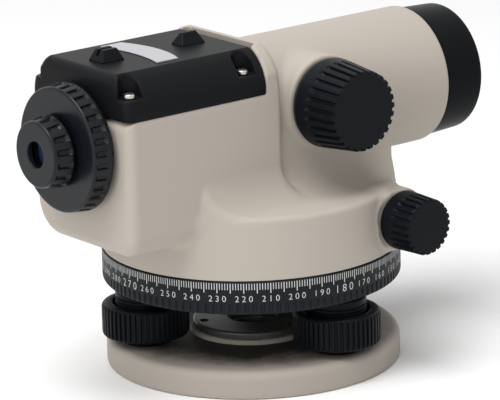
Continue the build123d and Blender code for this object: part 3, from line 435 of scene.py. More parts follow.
def covered(tree, base, mask, colour):
    """The base colour, with another one where the mask is 1."""
    mix = tree.nodes.new("ShaderNodeMix")
    mix.data_type = "RGBA"
    tree.links.new(mask, mix.inputs["Factor"])
    tree.links.new(base, mix.inputs["A"])
    mix.inputs["B"].default_value = colour + (1.0,)
    return mix.outputs["Result"]


def group(name, inputs, outputs):
    """A new shader group with its sockets, its inputs, its last node and its object coordinates."""
    tree = bpy.data.node_groups.new(name, "ShaderNodeTree")
    for socket, value in inputs:
        item = tree.interface.new_socket(name=socket, in_out="INPUT", socket_type="NodeSocketFloat")
        item.default_value = value
    for socket in outputs:
        tree.interface.new_socket(name=socket, in_out="OUTPUT", socket_type="NodeSocketFloat")
    spot = tree.nodes.new("ShaderNodeTexCoord").outputs["Object"]
    return tree, tree.nodes.new("NodeGroupInput").outputs, tree.nodes.new("NodeGroupOutput"), spot


def split(tree, vector):
    """The three parts of a vector, by name."""
    node = tree.nodes.new("ShaderNodeSeparateXYZ")
    tree.links.new(vector, node.inputs[0])
    return node.outputs


def mottle_group():
    """Slow and fine unevenness of a painted or moulded surface: a tone about 1 and a height."""
    tree, given, last, spot = group("level_mottle", [("Scale", 400.0), ("Amount", 0.05)], ["Tone", "Height"])
    slow = noise(tree, spot, 28.0, 3.0)
    fine = noise(tree, spot, given["Scale"], 2.0)
    both = maths(tree, "ADD", maths(tree, "MULTIPLY", slow, 0.6), maths(tree, "MULTIPLY", fine, 0.4))
    centred = maths(tree, "SUBTRACT", both, 0.5)
    tone = maths(tree, "ADD", maths(tree, "MULTIPLY", centred, given["Amount"]), 1.0)
    tree.links.new(tone, last.inputs["Tone"])
    tree.links.new(fine, last.inputs["Height"])


def dust_group():
    """Fine dust that lies on surfaces that face up: a mask from 0 to 1."""
    tree, given, last, spot = group("level_dust", [("Amount", 0.1)], ["Mask"])
    normal = tree.nodes.new("ShaderNodeNewGeometry").outputs["Normal"]
    upward = maths(tree, "MAXIMUM", split(tree, normal)["Z"], 0.0)
    specks = noise(tree, spot, 900.0, 2.0)
    mask = maths(tree, "MULTIPLY", maths(tree, "MULTIPLY", upward, specks), given["Amount"])
    tree.links.new(mask, last.inputs["Mask"])


def grease_group():
    """Painted shade and a painted reflection of the ring's dark underside on the base's top, round the clamp
    disc and the feet: a mask from 0 to 1.
    """
    tree, given, last, spot = group("level_grease", [("Amount", 0.95)], ["Mask"])
    reach, top, fading = 52.0 * MM, 10.8 * MM, 62.0
    part = split(tree, spot)
    across = maths(tree, "ADD", maths(tree, "MULTIPLY", part["X"], part["X"]),
                   maths(tree, "MULTIPLY", part["Y"], part["Y"]))
    edge = maths(tree, "SUBTRACT", reach, maths(tree, "SQRT", across, 0.0))
    patches = maths(tree, "SUBTRACT", noise(tree, spot, 60.0, 6.0, 0.7), 0.55)
    clamp = tree.nodes.new("ShaderNodeClamp")
    uneven = maths(tree, "ADD", maths(tree, "MULTIPLY", edge, fading), maths(tree, "MULTIPLY", patches, 1.6))
    tree.links.new(uneven, clamp.inputs["Value"])
    low = maths(tree, "LESS_THAN", part["Z"], top)
    mask = maths(tree, "MULTIPLY", maths(tree, "MULTIPLY", clamp.outputs[0], low), given["Amount"])
    tree.links.new(mask, last.inputs["Mask"])


GROUPS = {"level_mottle": mottle_group, "level_dust": dust_group, "level_grease": grease_group}


def placed(tree, name, **values):
    """The shader group of that name, made at first use, placed in a tree with its values."""
    if name not in bpy.data.node_groups:
        GROUPS[name]()
    node = tree.nodes.new("ShaderNodeGroup")
    node.node_tree = bpy.data.node_groups[name]
    for socket, value in values.items():
        node.inputs[socket].default_value = value
    return node.outputs


# colour name, roughness, metallic, specular level, grain scale, tone amount, bump in millimetres, dust
FINISHES = {
    "cream_paint": ("cream", 0.60, 0.0, 0.16, 700.0, 0.04, 0.006, 0.0),
    "base_paint": ("base", 0.60, 0.0, 0.16, 700.0, 0.05, 0.006, 0.0),
    "knob_plastic": ("knob", 0.38, 0.0, 0.085, 900.0, 0.20, 0.008, 0.004),
    "gloss_plastic": ("knob", 0.27, 0.0, 0.22, 900.0, 0.20, 0.006, 0.004),
    "cover_plastic": ("cover", 0.42, 0.0, 0.075, 1300.0, 0.20, 0.030, 0.002),
    "black_anodised": ("anodised", 0.42, 0.0, 0.10, 900.0, 0.15, 0.006, 0.004),
    "hood_paint": ("anodised", 0.35, 0.0, 0.04, 900.0, 0.15, 0.003, 0.002),
    "circle_anodised": ("circle", 0.45, 0.0, 0.12, 900.0, 0.15, 0.006, 0.004),
    "clamp_plate": ("clamp", 0.42, 0.0, 0.50, 500.0, 1.10, 0.020, 0.01),
    "mark_paint": ("marks", 0.60, 0.0, 0.30, 900.0, 0.08, 0.0, 0.0),
    "bare_aluminium": ("plate", 0.45, 0.0, 0.50, 900.0, 0.05, 0.002, 0.0),
    "steel": ("steel", 0.35, 1.0, 0.50, 900.0, 0.08, 0.002, 0.0),
    "brass": ("brass", 0.35, 1.0, 0.50, 900.0, 0.08, 0.002, 0.0),
    "nickel": ("nickel", 0.30, 1.0, 0.50, 900.0, 0.08, 0.002, 0.0),
    "mirror": ("nickel", 0.04, 1.0, 0.50, 900.0, 0.0, 0.0, 0.0),
}
CLEAR_GLASS = (0.93, 0.95, 0.97)
# colour of the painted shade and painted reflection on the base's top
PAINTED_SHADE = (0.018, 0.017, 0.015)
DUST = (0.45, 0.43, 0.40)


def finish(name):
    """The material of that name, made at first use."""
    if "level_" + name in bpy.data.materials:
        return bpy.data.materials["level_" + name]
    colours = bpy.context.scene.level_colours
    material = bpy.data.materials.new("level_" + name)
    material.use_nodes = True
    tree = material.node_tree
    surface = tree.nodes["Principled BSDF"].inputs
    if name in ("glass", "coated_glass"):
        coated = name == "coated_glass"
        surface["Base Color"].default_value = (tuple(colours.lens) if coated else CLEAR_GLASS) + (1.0,)
        surface["Roughness"].default_value = 0.04
        surface["Coat Weight"].default_value = 0.6 if coated else 0.0
        surface["Transmission Weight"].default_value = 0.25 if coated else 0.9
        return material
    source, rough, metallic, specular, grain, tone, bump_mm, dust = FINISHES[name]
    surface["Metallic"].default_value = metallic
    surface["Specular IOR Level"].default_value = specular
    uneven = placed(tree, "level_mottle", Scale=grain, Amount=tone)
    shade = tree.nodes.new("ShaderNodeVectorMath")
    shade.operation = "SCALE"
    shade.inputs[0].default_value = tuple(getattr(colours, source))
    tree.links.new(uneven["Tone"], shade.inputs["Scale"])
    base = shade.outputs[0]
    # the base's top darkens towards the middle: painted shade and a painted reflection of the ring above
    if name == "base_paint":
        base = covered(tree, base, placed(tree, "level_grease")["Mask"], PAINTED_SHADE)
    if dust > 0.0:
        base = covered(tree, base, placed(tree, "level_dust", Amount=dust)["Mask"], DUST)
    tree.links.new(base, surface["Base Color"])
    tree.links.new(maths(tree, "MULTIPLY", uneven["Tone"], rough), surface["Roughness"])
    if bump_mm > 0.0:
        bump = tree.nodes.new("ShaderNodeBump")
        bump.inputs["Distance"].default_value = bump_mm * MM
        tree.links.new(uneven["Height"], bump.inputs["Height"])
        tree.links.new(bump.outputs["Normal"], surface["Normal"])
    return material


# ------------------------------------------------------------------ pieces
GAP = 0.02      # how far a seen hollow clears the piece that fills it
UP, FORWARD = (0, 0, 1), (1, 0, 0)


def build_base(s):
    """The base plate with its boss and wells, and the clamp disc."""
    plate, disc, bushes, thread = spans("base_plate", "clamp_disc", "foot_bushes", "tripod_bush")
    feet = spans("foot_screw_a", "foot_screw_b", "foot_screw_c")
    radius, rim_top = plate.x1, 10.4
    boss_r, boss_foot = disc.x1 + 0.9, 5.0
    well_r, well_floor = bushes.x1 - max(foot.x for foot in feet) - 1.5 + GAP, 3.0

    def plate_field(x, y, z):
        q = np.hypot(x, y)
        body = meet(meet(q - radius, z - rim_top, 3.0), -z, 0.8)
        boss = meet(q - boss_r, z - plate.z1, 0.7)
        body = join(body, np.maximum(boss, boss_foot - z), 1.2)
        body = cut(body, q - (thread.x1 + GAP), 0.1)
        for foot in feet:
            well = np.hypot(x - foot.x, y - foot.y) - well_r
            body = cut(body, np.maximum(well, well_floor - z), 0.1)
        return body

    mesh = solid_mesh("base_plate", plate_field, (-radius, -radius, 0), (radius, radius, plate.z1), 0.8)
    dress("base_plate", mesh, "base", "base_paint")
    bore_r, pin_ring, pin_r = 9.2, 19.2, 1.5
    pins = [math.atan2(foot.y, foot.x) for foot in feet]

    def disc_field(x, y, z):
        q = np.hypot(x, y)
        body = meet(meet(q - disc.x1, z - disc.z1, 0.9), disc.z0 - z, 0.2)
        body = cut(body, q - bore_r, 0.5)
        for pin in pins:
            hole = np.hypot(x - pin_ring * math.cos(pin), y - pin_ring * math.sin(pin)) - pin_r
            body = cut(body, hole, 0.2)
        return body

    mesh = solid_mesh("clamp_disc", disc_field, disc.low, disc.high, 0.4)
    dress("clamp_disc", mesh, "base", "clamp_plate")


def build_feet(s):
    """The three foot screws' knobs and the sleeves of their nuts."""
    ribs, grip_r, hub_r, bore_r = 48, 2.95, 7.5, 3.55
    ball_z, ball_r, ball_start, neck_r = 37.5, 8.0, -0.82, 6.0
    sleeve_top, thread_z, thread_r, relief_r = 31.5, 33.5, 4.0, 5.0
    ring_wide, ring_deep = 0.6, 0.7
    for mark, body in (("a", "nut_a"), ("b", "nut_b"), ("c", "levelling_head")):
        knob, nut = spans(f"foot_knob_{mark}", f"foot_nut_{mark}")
        radius, sleeve = (knob.x1 - knob.x0) / 2, (nut.x1 - nut.x0) / 2
        side, recess = radius - 0.2, sleeve + 1.2
        low, high = knob.z0 + 1.1, knob.z1
        floor = low + 4.0
        outline = [(knob.z0, grip_r), (knob.z0, hub_r, 0.4), (low, hub_r), (low, side, 1.6),
                   (high, side, 1.8), (high, recess, 0.5), (floor, recess), (floor, bore_r), (low, bore_r),
                   (low, grip_r)]
        relief = grooves(0.75, ribs, 0.42, [(low + 0.4, low + 1.4), (high - 0.3, high - 1.6)],
                         (radius - 3.0, radius - 1.5))
        mesh = lathe(f"foot_knob_{mark}", outline, (knob.x, knob.y, 0), UP, ribs * 14, relief, 0.8)
        dress(f"foot_knob_{mark}", mesh, f"foot_knob_body_{mark}", "knob_plastic")
        rings = [point for z in (high + 0.3, high + 1.9)
                 for point in ((z, sleeve, 0.2), (z, sleeve - ring_deep),
                               (z + ring_wide, sleeve - ring_deep), (z + ring_wide, sleeve, 0.2))]
        ball = [(ball_z + ball_r * math.sin(t), ball_r * math.cos(t))
                for t in np.linspace(ball_start, math.asin((nut.z1 - ball_z) / ball_r), 10)]
        outline = ([(nut.z0, relief_r), (nut.z0, sleeve, 0.5)] + rings
                   + [(sleeve_top, sleeve, 0.9), (sleeve_top, neck_r)] + ball
                   + [(nut.z1, thread_r), (thread_z, thread_r), (thread_z, relief_r)])
        mesh = lathe(f"foot_nut_{mark}", outline, (nut.x, nut.y, 0), UP, 96)
        dress(f"foot_nut_{mark}", mesh, body, "knob_plastic")


def digit_shapes():
    """Flat outlines of the ten figures, one unit high, as (points, faces)."""
    thinning, figure_height = -0.008, 0.74
    shapes = {}
    for figure in "0123456789":
        curve = bpy.data.curves.new("figure", "FONT")
        curve.body = figure
        curve.size = 1.0
        curve.offset = thinning
        curve.resolution_u = 5
        holder = bpy.data.objects.new("figure", curve)
        bpy.context.scene.collection.objects.link(holder)
        view = bpy.context.evaluated_depsgraph_get()
        shape = holder.evaluated_get(view).to_mesh()
        points = np.array([v.co[:2] for v in shape.vertices])
        faces = [list(p.vertices) for p in shape.polygons]
        holder.evaluated_get(view).to_mesh_clear()
        bpy.data.objects.remove(holder)
        bpy.data.curves.remove(curve)
        points = (points - (points.min(0) + points.max(0)) / 2) / figure_height
        shapes[figure] = (points, faces)
    return shapes


def build_circle(s):
    """The degree circle with its ticks and figures."""
    ring = Span("circle_ring")
    radius = ring.x1
    wall, flange, ridges = 4.2, 2.4, 120
    bore = radius - 3 * wall
    outline = [(ring.z0, radius - wall), (ring.z0, radius, 1.6), (ring.z1, radius, 0.35),
               (ring.z1, bore, 0.3), (ring.z1 - flange, bore, 0.3), (ring.z1 - flange, radius - wall)]
    knurl_top = ring.z1 - 8.3
    knurl = grooves(0.55, ridges, 0.40, [(knurl_top + 0.3, knurl_top - 0.5), (ring.z0 + 0.2, ring.z0 + 1.0)],
                    (radius - 2.0, radius - 1.0))
    mesh = lathe("circle_ring", outline, (0, 0, 0), UP, ridges * 12, knurl, 0.8)
    dress("circle_ring", mesh, "horizontal_circle", "circle_anodised")
    points, faces = [], []
    paint, tick_top = 0.03, ring.z1 - 0.45
    quarter_scale, figure_pitch = 1.27, 1.04

    def patch(flat, polygons, bearing):
        """Lay a flat shape, in millimetres across and up, on the ring."""
        start = len(points)
        turn = bearing + flat[:, 0] / radius
        reach = radius + paint
        points.extend(np.stack([reach * np.cos(turn), reach * np.sin(turn), flat[:, 1]], 1).tolist())
        faces.extend([[start + v for v in polygon] for polygon in polygons])

    shapes = digit_shapes()
    for reading in range(360):
        bearing = s["zero_bearing"] - math.radians(reading)
        tall, half = (s["tick_long"], 0.17) if reading % 5 == 0 else (s["tick_short"], 0.14)
        low = tick_top - tall
        tick = np.array([(-half, tick_top), (half, tick_top), (half, low), (-half, low)])
        patch(tick, [(3, 2, 1, 0)], bearing)
        if reading % 10:
            continue
        height = s["figure_height"] * (quarter_scale if reading % 90 == 0 else 1.0)
        text = str(reading)
        for k, figure in enumerate(text):
            flat, polygons = shapes[figure]
            across = (k - (len(text) - 1) / 2) * figure_pitch * height
            patch(flat * height + np.array([across, ring.z1 - s["figure_drop"]]), polygons, bearing)
    mesh = net("circle_marks", points, faces)
    place("circle_marks", mesh, "horizontal_circle", "mark_paint")


def cover_slope(y, z, s, top, rise=0.0):
    """Section of the cover and of the band in front of it: flat top, rounded slopes, upright sides."""
    round_r, inset, lift = 16.32, 16.27, 0.1055
    centre_y, centre_z = s["box_half_width"] - inset, s["seam"] + lift * (top - s["seam"])
    side = np.abs(y) - s["box_half_width"]
    corner = np.hypot(np.maximum(np.abs(y) - centre_y, 0), np.maximum(z - centre_z, 0)) - round_r - rise
    return np.maximum(side, np.maximum(z - top - rise, corner))


def build_housing(s):
    """The cast housing: drum, prism box, band, pedestal, tube and bosses, with its hollows."""
    whole, ring, cover, hood = spans("housing", "circle_ring", "top_cover", "objective_hood")
    focus, worm, vial = spans("focus_shaft", "tangent_knob_near", "vial_holder")
    axis, shelf, seam, box_front = s["axis_height"], s["shelf_height"], s["seam"], s["box_front"]
    skirt_z, skirt_r = whole.z0, ring.x1 - 0.3
    drum_lean, pedestal_inset, far_corner, near_corner = 1.2, 0.8, 13.0, 8.0
    spigot, cover_gap = 4.7, 0.15
    lap, tube_lap, pedestal_lap = 8.0, 4.0, 10.0
    worm_face, focus_face = abs(worm.y1 + 0.5), s["tube_radius"] + 1.1
    pad_root, pad_drop = 40.0, 0.2
    skirt_wall, skirt_span = 6.1, (skirt_z - 5, 63.0)
    spindle_r, spindle_span = 14.0 + GAP, (60.0, axis - 18.0)
    eyepiece_r, eyepiece_span = 12.6 + GAP, (-90.0, -70.0)
    focus_r, focus_span = 6.0 + GAP, (-40.0, -10.0)
    worm_r, worm_span, worm_relief_r = 6.5 + GAP, (25.0, 70.0), 11.8
    tube_span, vial_r, vial_span = (-14.0, 140.0), 10.5, (shelf, 99.0)
    bay_low, bay_high = (-73.5, -20.5, 73.0), (-11.0, 20.5, 130.0)

    def box_section(y, z):
        """Section of the prism box, with a small round below on the near side and a large one beyond."""
        ease = np.where(y < 0, near_corner, far_corner)
        return np.maximum(meet(np.abs(y) - s["box_half_width"], s["box_floor"] - z, ease), z - seam)

    def outside(x, y, z, q, tube_q):
        """The outer form, before its hollows."""
        edge = q - (skirt_r - drum_lean * (z - skirt_z) / (shelf - skirt_z))
        drum = meet(edge, z - shelf, s["rim_ease"])
        prism_box = meet(meet(box_section(y, z), whole.x0 - x, 3.8), x - box_front, 2.0)
        high_up = smooth(axis + 12.0, cover.z1 - 4.0, z)
        band = meet(cover_slope(y, z, s, cover.z1, s["band_rise"]), x - box_front, 1.6 + 1.8 * high_up)
        band = np.maximum(band, np.maximum(cover.x1 + cover_gap - x, seam - lap - z))
        tube = meet(tube_q - s["tube_radius"], slab(x, box_front - tube_lap, hood.x0 + spigot), 1.1)
        pedestal = meet(np.abs(y) - s["pedestal_half_width"], x - s["pedestal_front"], 2.0)
        pedestal = np.maximum(pedestal, box_front - pedestal_lap - x)
        pedestal = meet(pedestal, q - (skirt_r - pedestal_inset), 1.5)
        lower_tube = np.minimum(tube, np.maximum(pedestal, slab(z, shelf - lap, axis)))
        front = join(np.minimum(prism_box, band), lower_tube, 4.0)
        flow = np.minimum(join(prism_box, drum, s["sweep"]), join(lower_tube, drum, s["pedestal_sweep"]))
        body = np.minimum(meet(flow, edge, s["rim_ease"]), join(front, drum, 3.0))
        body = meet(body, skirt_z - z, 0.25)
        boss = rod(x - focus.x, z - focus.z, y, s["focus_boss"], -focus_face, 0.0, 1.2)
        body = join(body, boss, 2.0)
        for side in (-1, 1):
            pad = rod(x - worm.x, z - worm.z, side * y, s["tangent_boss"], pad_root, worm_face, 0.6)
            body = join(body, np.maximum(pad, z - shelf + pad_drop), 3.0)
        return body

    def field(x, y, z):
        q, tube_q = np.hypot(x, y), np.hypot(y, z - axis)
        focus_q, worm_q = np.hypot(x - focus.x, z - focus.z), np.hypot(x - worm.x, z - worm.z)
        body = outside(x, y, z, q, tube_q)
        body = cut(body, np.maximum(q - (ring.x1 - skirt_wall), slab(z, *skirt_span)), 0.4)
        body = cut(body, np.maximum(q - spindle_r, slab(z, *spindle_span)))
        body = cut(body, np.maximum(tube_q - s["tube_bore"], slab(x, *tube_span)))
        body = cut(body, block(x, y, z, bay_low, bay_high, 3.0))
        body = cut(body, np.maximum(tube_q - eyepiece_r, slab(x, *eyepiece_span)))
        body = cut(body, np.maximum(focus_q - focus_r, slab(y, *focus_span)))
        for side in (-1, 1):
            body = cut(body, np.maximum(worm_q - worm_r, slab(side * y, *worm_span)))
            body = cut(body, np.maximum(worm_q - worm_relief_r, worm_face - side * y))
        body = cut(body, np.maximum(np.hypot(x - vial.x, y - vial.y) - vial_r, slab(z, *vial_span)))
        return np.maximum(body, np.where(x < cover.x1, z - seam, -1.0))

    cell = 0.85
    half_wide = max(worm_face, skirt_r) + 1
    low, high = (whole.x0, -half_wide, skirt_z - 0.5 * cell), (whole.x1, half_wide, whole.z1)
    mesh = solid_mesh("housing", field, low, high, cell, (skirt_r, skirt_z))
    dress("housing", mesh, "telescope", "cream_paint", 50.0)


def build_cover(s):
    """The black top cover, its screws, the open sights and the plate."""
    cover, screws = spans("top_cover", "cover_screws")
    seam = s["seam"]
    screw_r, pocket_r, pocket_share, wall, bay_half, bay_floor = 2.75, 4.0, 0.485, 2.4, 18.1, 90.0
    places = [(x, y) for x in (screws.x0 + screw_r, screws.x1 - screw_r)
              for y in (screws.y0 + screw_r, screws.y1 - screw_r)]
    floor = seam + pocket_share * (cover.z1 - seam)
    bay_low, bay_high = (cover.x0 + wall, -bay_half, bay_floor), (cover.x1 - wall, bay_half, cover.z1 - wall)

    def cover_field(x, y, z):
        body = meet(meet(cover_slope(y, z, s, cover.z1), cover.x0 - x, 3.4), x - cover.x1, 0.4)
        body = meet(body, seam + 0.15 - z, 0.5)
        body = cut(body, block(x, y, z, bay_low, bay_high, 2.0))
        for px, py in places:
            outward = math.copysign(1.0, py) * (y - py)
            across = np.where(outward > 0, np.abs(x - px), np.hypot(x - px, y - py))
            body = cut(body, np.maximum(across - pocket_r, floor - z), 0.45)
        return body

    mesh = solid_mesh("top_cover", cover_field, cover.low, cover.high, 0.55)
    dress("top_cover", mesh, "telescope", "cover_plastic", 50.0)
    head_r, head_h, slot_half, slot_long, slot_floor = 2.1, 1.9, 0.35, 1.3, 1.0

    def screw_field(x, y, z):
        head = meet(np.hypot(x, y) - head_r, np.maximum(z - head_h, -z), 0.6)
        arms = [np.maximum(np.abs(a) - slot_half, np.abs(b) - slot_long) for a, b in ((x, y), (y, x))]
        return cut(head, np.maximum(np.minimum(*arms), slot_floor - z), 0.1)

    head = solid_mesh("screw", screw_field, (-screw_r, -screw_r, 0), (screw_r, screw_r, 2.2), 0.16)
    head_points = np.array([v.co for v in head.vertices]) / MM
    head_faces = [list(p.vertices) for p in head.polygons]
    points, faces = [], []
    for px, py in places:
        faces.extend([[len(points) + v for v in face] for face in head_faces])
        points.extend((head_points + np.array([px, py, floor])).tolist())
    dress("cover_screws", net("cover_screws", points, faces), "telescope", "nickel")

    foot_share, lean, notch_half, notch_deep = 0.43, 0.8, 0.7, 2.6
    for name, crown_x, crown_y in (("rear_sight", 3.1, 2.7), ("front_sight", 3.3, 0.9)):
        sight = Span(name)
        foot_x, foot_y = foot_share * (sight.x1 - sight.x0), foot_share * (sight.y1 - sight.y0)

        def sight_field(x, y, z):
            rise = (z - sight.z0) / (sight.z1 - sight.z0)
            slope_x = (np.abs(x - sight.x) - (foot_x + (crown_x - foot_x) * rise)) * lean
            slope_y = (np.abs(y) - (foot_y + (crown_y - foot_y) * rise)) * lean
            body = meet(meet(slope_x, slope_y, 0.5), slab(z, sight.z0, sight.z1), 0.3)
            if name == "rear_sight":
                body = cut(body, np.maximum(np.abs(y) - notch_half, sight.z1 - notch_deep - z), 0.15)
            return body

        mesh = solid_mesh(name, sight_field, sight.low, sight.high, 0.22)
        dress(name, mesh, "telescope", "cover_plastic", 60.0)

    plate = Span("label_plate")
    outer_x, outer_r, inner_x, inner_r, plate_half = -41.3, 43.0, -51.9, 57.0, 17.3

    def plate_field(x, y, z):
        outer = np.hypot(x - (outer_x - outer_r), y) - outer_r
        inner = inner_r - np.hypot(x - (inner_x - inner_r), y)
        flat = meet(np.maximum(outer, inner), np.abs(y) - plate_half, 0.3)
        return meet(flat, slab(z, plate.z0, plate.z1), 0.08)

    mesh = solid_mesh("label_plate", plate_field, plate.low, plate.high, 0.2)
    dress("label_plate", mesh, "telescope", "bare_aluminium")


def build_objective(s):
    """The hood and the objective lens."""
    hood, lens = spans("objective_hood", "objective_lens")
    axis = (0, 0, s["axis_height"])
    shoulder, bore_r, spigot_r = hood.x0 + 4.8, 21.8, 23.5
    outline = [(hood.x0, bore_r), (hood.x0, spigot_r), (shoulder, spigot_r), (shoulder, 25.4, 0.35),
               (hood.x1, 24.6, 0.9), (hood.x1, bore_r + 0.6, 0.5), (hood.x1 - 1.4, bore_r)]
    mesh = lathe("objective_hood", outline, axis, FORWARD, 256, None, 2.0)
    dress("objective_hood", mesh, "telescope", "hood_paint")
    radius, bulge = (lens.y1 - lens.y0) / 2, 1.6
    front = [(lens.x1 - bulge * t * t, radius * t) for t in np.linspace(0, 1, 9)]
    rear = [(lens.x0 + bulge * (1 - t * t), radius * t) for t in np.linspace(1, 0, 9)]
    mesh = lathe("objective_lens", front + rear, axis, FORWARD, 128)
    dress("objective_lens", mesh, "telescope", "coated_glass")


def build_focus(s):
    """The focusing knob."""
    knob = Span("focus_knob")
    rear, face = -knob.y1, -knob.y0
    big, small, ribs = (knob.x1 - knob.x0) / 2, 15.0, 28
    hub_r, shaft_r, deep = 9.0, 2.55, face - 4.0
    outline = [(rear, shaft_r), (rear, big - 1.0, 0.8), (rear + 2.4, big, 0.8), (rear + 4.4, big - 0.2, 0.6),
               (face, small, 0.7), (face, hub_r, 0.2), (face, 0.0), (deep, 0.0), (deep, shaft_r)]
    relief = grooves(1.0, ribs, 0.42, [(rear + 7.2, rear + 8.2)], (small - 2.6, small - 1.6))
    mesh = lathe("focus_knob", outline, (knob.x, 0, knob.z), (0, -1, 0), ribs * 20, relief, 0.7)
    dress("focus_knob", mesh, "focusing_knob", "knob_plastic")


def build_tangent(s):
    """The two knobs of the tangent screw."""
    slots, shaft_r = 24, 3.0 + GAP
    for name, way in (("tangent_knob_near", -1), ("tangent_knob_far", 1)):
        knob = Span(name)
        rear, face = sorted((abs(knob.y0), abs(knob.y1)))
        big = (knob.x1 - knob.x0) / 2
        small, deep = big - 0.6, face - 3.9
        outline = [(rear, shaft_r), (rear, big, 1.2), (face, small, 1.0), (face, 0.0), (deep, 0.0),
                   (deep, shaft_r)]
        relief = grooves(0.75, slots, 0.42, [(rear + 5.6, rear + 6.6)], (small - 2.2, small - 1.2))
        mesh = lathe(name, outline, (knob.x, 0, knob.z), (0, way, 0), slots * 20, relief, 0.8)
        dress(name, mesh, "tangent_screw", "knob_plastic")


def build_eyepiece(s):
    """The eyepiece cap, the dioptre dial and the eye lens."""
    axis = (0, 0, s["axis_height"])
    cap, dial, barrel, eye = spans("eyepiece_cap", "diopter_dial", "eyepiece_barrel", "eye_lens")
    big, notches, tube_r, cap_bore = (cap.y1 - cap.y0) / 2, 32, 12.0 + GAP, 20.8
    small, floor = big - 0.9, cap.x0 + 2.6
    outline = [(cap.x0, tube_r, 0.2), (cap.x0, small, 0.9), (cap.x1, big, 0.9), (cap.x1, cap_bore),
               (floor, cap_bore), (floor, tube_r)]
    relief = grooves(1.1, notches, 0.42, [(cap.x0 + 0.9, cap.x0 + 1.7), (cap.x1 - 1.8, cap.x1 - 2.6)],
                     (small - 2.4, small - 1.6), 0.10)
    mesh = lathe("eyepiece_cap", outline, axis, FORWARD, notches * 22, relief, 0.6)
    dress("eyepiece_cap", mesh, "telescope", "gloss_plastic")
    rear, flutes, dial_bore = (dial.y1 - dial.y0) / 2, 16, 9.6
    face, wall = rear - 1.4, barrel.x0 - 1.8
    outline = [(dial.x0, 4.8, 0.4), (dial.x0, face, 0.8), (dial.x1, rear, 0.7), (dial.x1, dial_bore),
               (wall, dial_bore), (wall, 5.4)]
    relief = grooves(0.95, flutes, 0.40, [(dial.x0 + 1.2, dial.x0 + 2.0), (dial.x1 - 0.9, dial.x1 - 1.7)],
                     (face - 2.4, face - 1.6), 0.1)
    mesh = lathe("diopter_dial", outline, axis, FORWARD, flutes * 28, relief, 0.6)
    dress("diopter_dial", mesh, "dial", "gloss_plastic")
    radius, bulge = (eye.y1 - eye.y0) / 2, 0.9
    front = [(eye.x1 - bulge * t * t, radius * t) for t in np.linspace(0, 1, 7)]
    back = [(eye.x0 + bulge * t * t, radius * t) for t in np.linspace(1, 0, 7)]
    mesh = lathe("eye_lens", front + back, axis, FORWARD, 96)
    dress("eye_lens", mesh, "eyepiece", "coated_glass")


def build_bubble(s):
    """The holder of the circular bubble."""
    holder, vial = spans("vial_holder", "bubble_vial")
    radius, glass_r = (holder.x1 - holder.x0) / 2, (vial.x1 - vial.x0) / 2 + GAP
    outline = [(holder.z0, 0.0), (holder.z0, radius, 0.3), (holder.z1, radius, 0.8),
               (holder.z1, glass_r, 0.3), (vial.z0, glass_r), (vial.z0, 0.0)]
    mesh = lathe("vial_holder", outline, (holder.x, holder.y, 0), UP, 128)
    dress("vial_holder", mesh, "telescope", "knob_plastic")


# finish of the frame's own pieces, by their material slot; other slots have a finish of their own name
CARRIED = {"black_paint": "hood_paint", "black_plastic": "knob_plastic"}


def paint_carried(s):
    """Give every frame node that still shows the finish of its slot."""
    slots = {part["node"]: part["material_slot"] for part in frame["record"]["subparts"]}
    for name, node in frame["nodes"].items():
        if node.hide_render:
            continue
        slot = slots[name]
        chosen = finish("coated_glass" if name == "field_lens" else CARRIED.get(slot, slot))
        if not node.material_slots:
            node.data.materials.append(None)
        for holder in node.material_slots:
            holder.link = "OBJECT"
            holder.material = chosen


def build_floor():
    """The white floor."""
    half = 6.0
    corners = [(-half, -half, 0), (half, -half, 0), (half, half, 0), (-half, half, 0)]
    mesh = bpy.data.meshes.new("floor")
    mesh.from_pydata(corners, [], [(0, 1, 2, 3)])
    floor = bpy.data.objects.new("floor", mesh)
    bpy.context.scene.collection.objects.link(floor)
    material = bpy.data.materials.new("floor")
    material.use_nodes = True
    surface = material.node_tree.nodes["Principled BSDF"].inputs
    surface["Base Color"].default_value = (0.94, 0.94, 0.94, 1.0)
    surface["Roughness"].default_value = 0.9
    surface["Specular IOR Level"].default_value = 0.1
    mesh.materials.append(material)
    return floor


def build_daylight(strength):
    """Even white light all round, which the camera, mirrors and glass see as plain white."""
    world = bpy.data.worlds.new("daylight")
    bpy.context.scene.world = world
    world.use_nodes = True
    tree = world.node_tree
    tree.nodes.clear()
    ray = tree.nodes.new("ShaderNodeLightPath").outputs
    seen = maths(tree, "MAXIMUM", ray["Is Camera Ray"], ray["Is Glossy Ray"])
    mix = tree.nodes.new("ShaderNodeMixShader")
    feed(tree, mix.inputs[0], maths(tree, "MAXIMUM", seen, ray["Is Transmission Ray"]))
    for socket, bright in zip(mix.inputs[1:], (strength, 1.0)):
        white = tree.nodes.new("ShaderNodeBackground")
        white.inputs["Color"].default_value = (1, 1, 1, 1)
        white.inputs["Strength"].default_value = bright
        tree.links.new(white.outputs[0], socket)
    tree.links.new(mix.outputs[0], tree.nodes.new("ShaderNodeOutputWorld").inputs["Surface"])


def build_lamp(name, spot, extent, power, target):
    """A square soft light that faces the target."""
    lamp = bpy.data.lights.new(name, "AREA")
    lamp.shape = "SQUARE"
    lamp.size = extent
    lamp.energy = power
    holder = bpy.data.objects.new(name, lamp)
    holder.location = spot
    holder.rotation_euler = (target - Vector(spot)).to_track_quat("-Z", "Y").to_euler()
    bpy.context.scene.collection.objects.link(holder)
    return holder


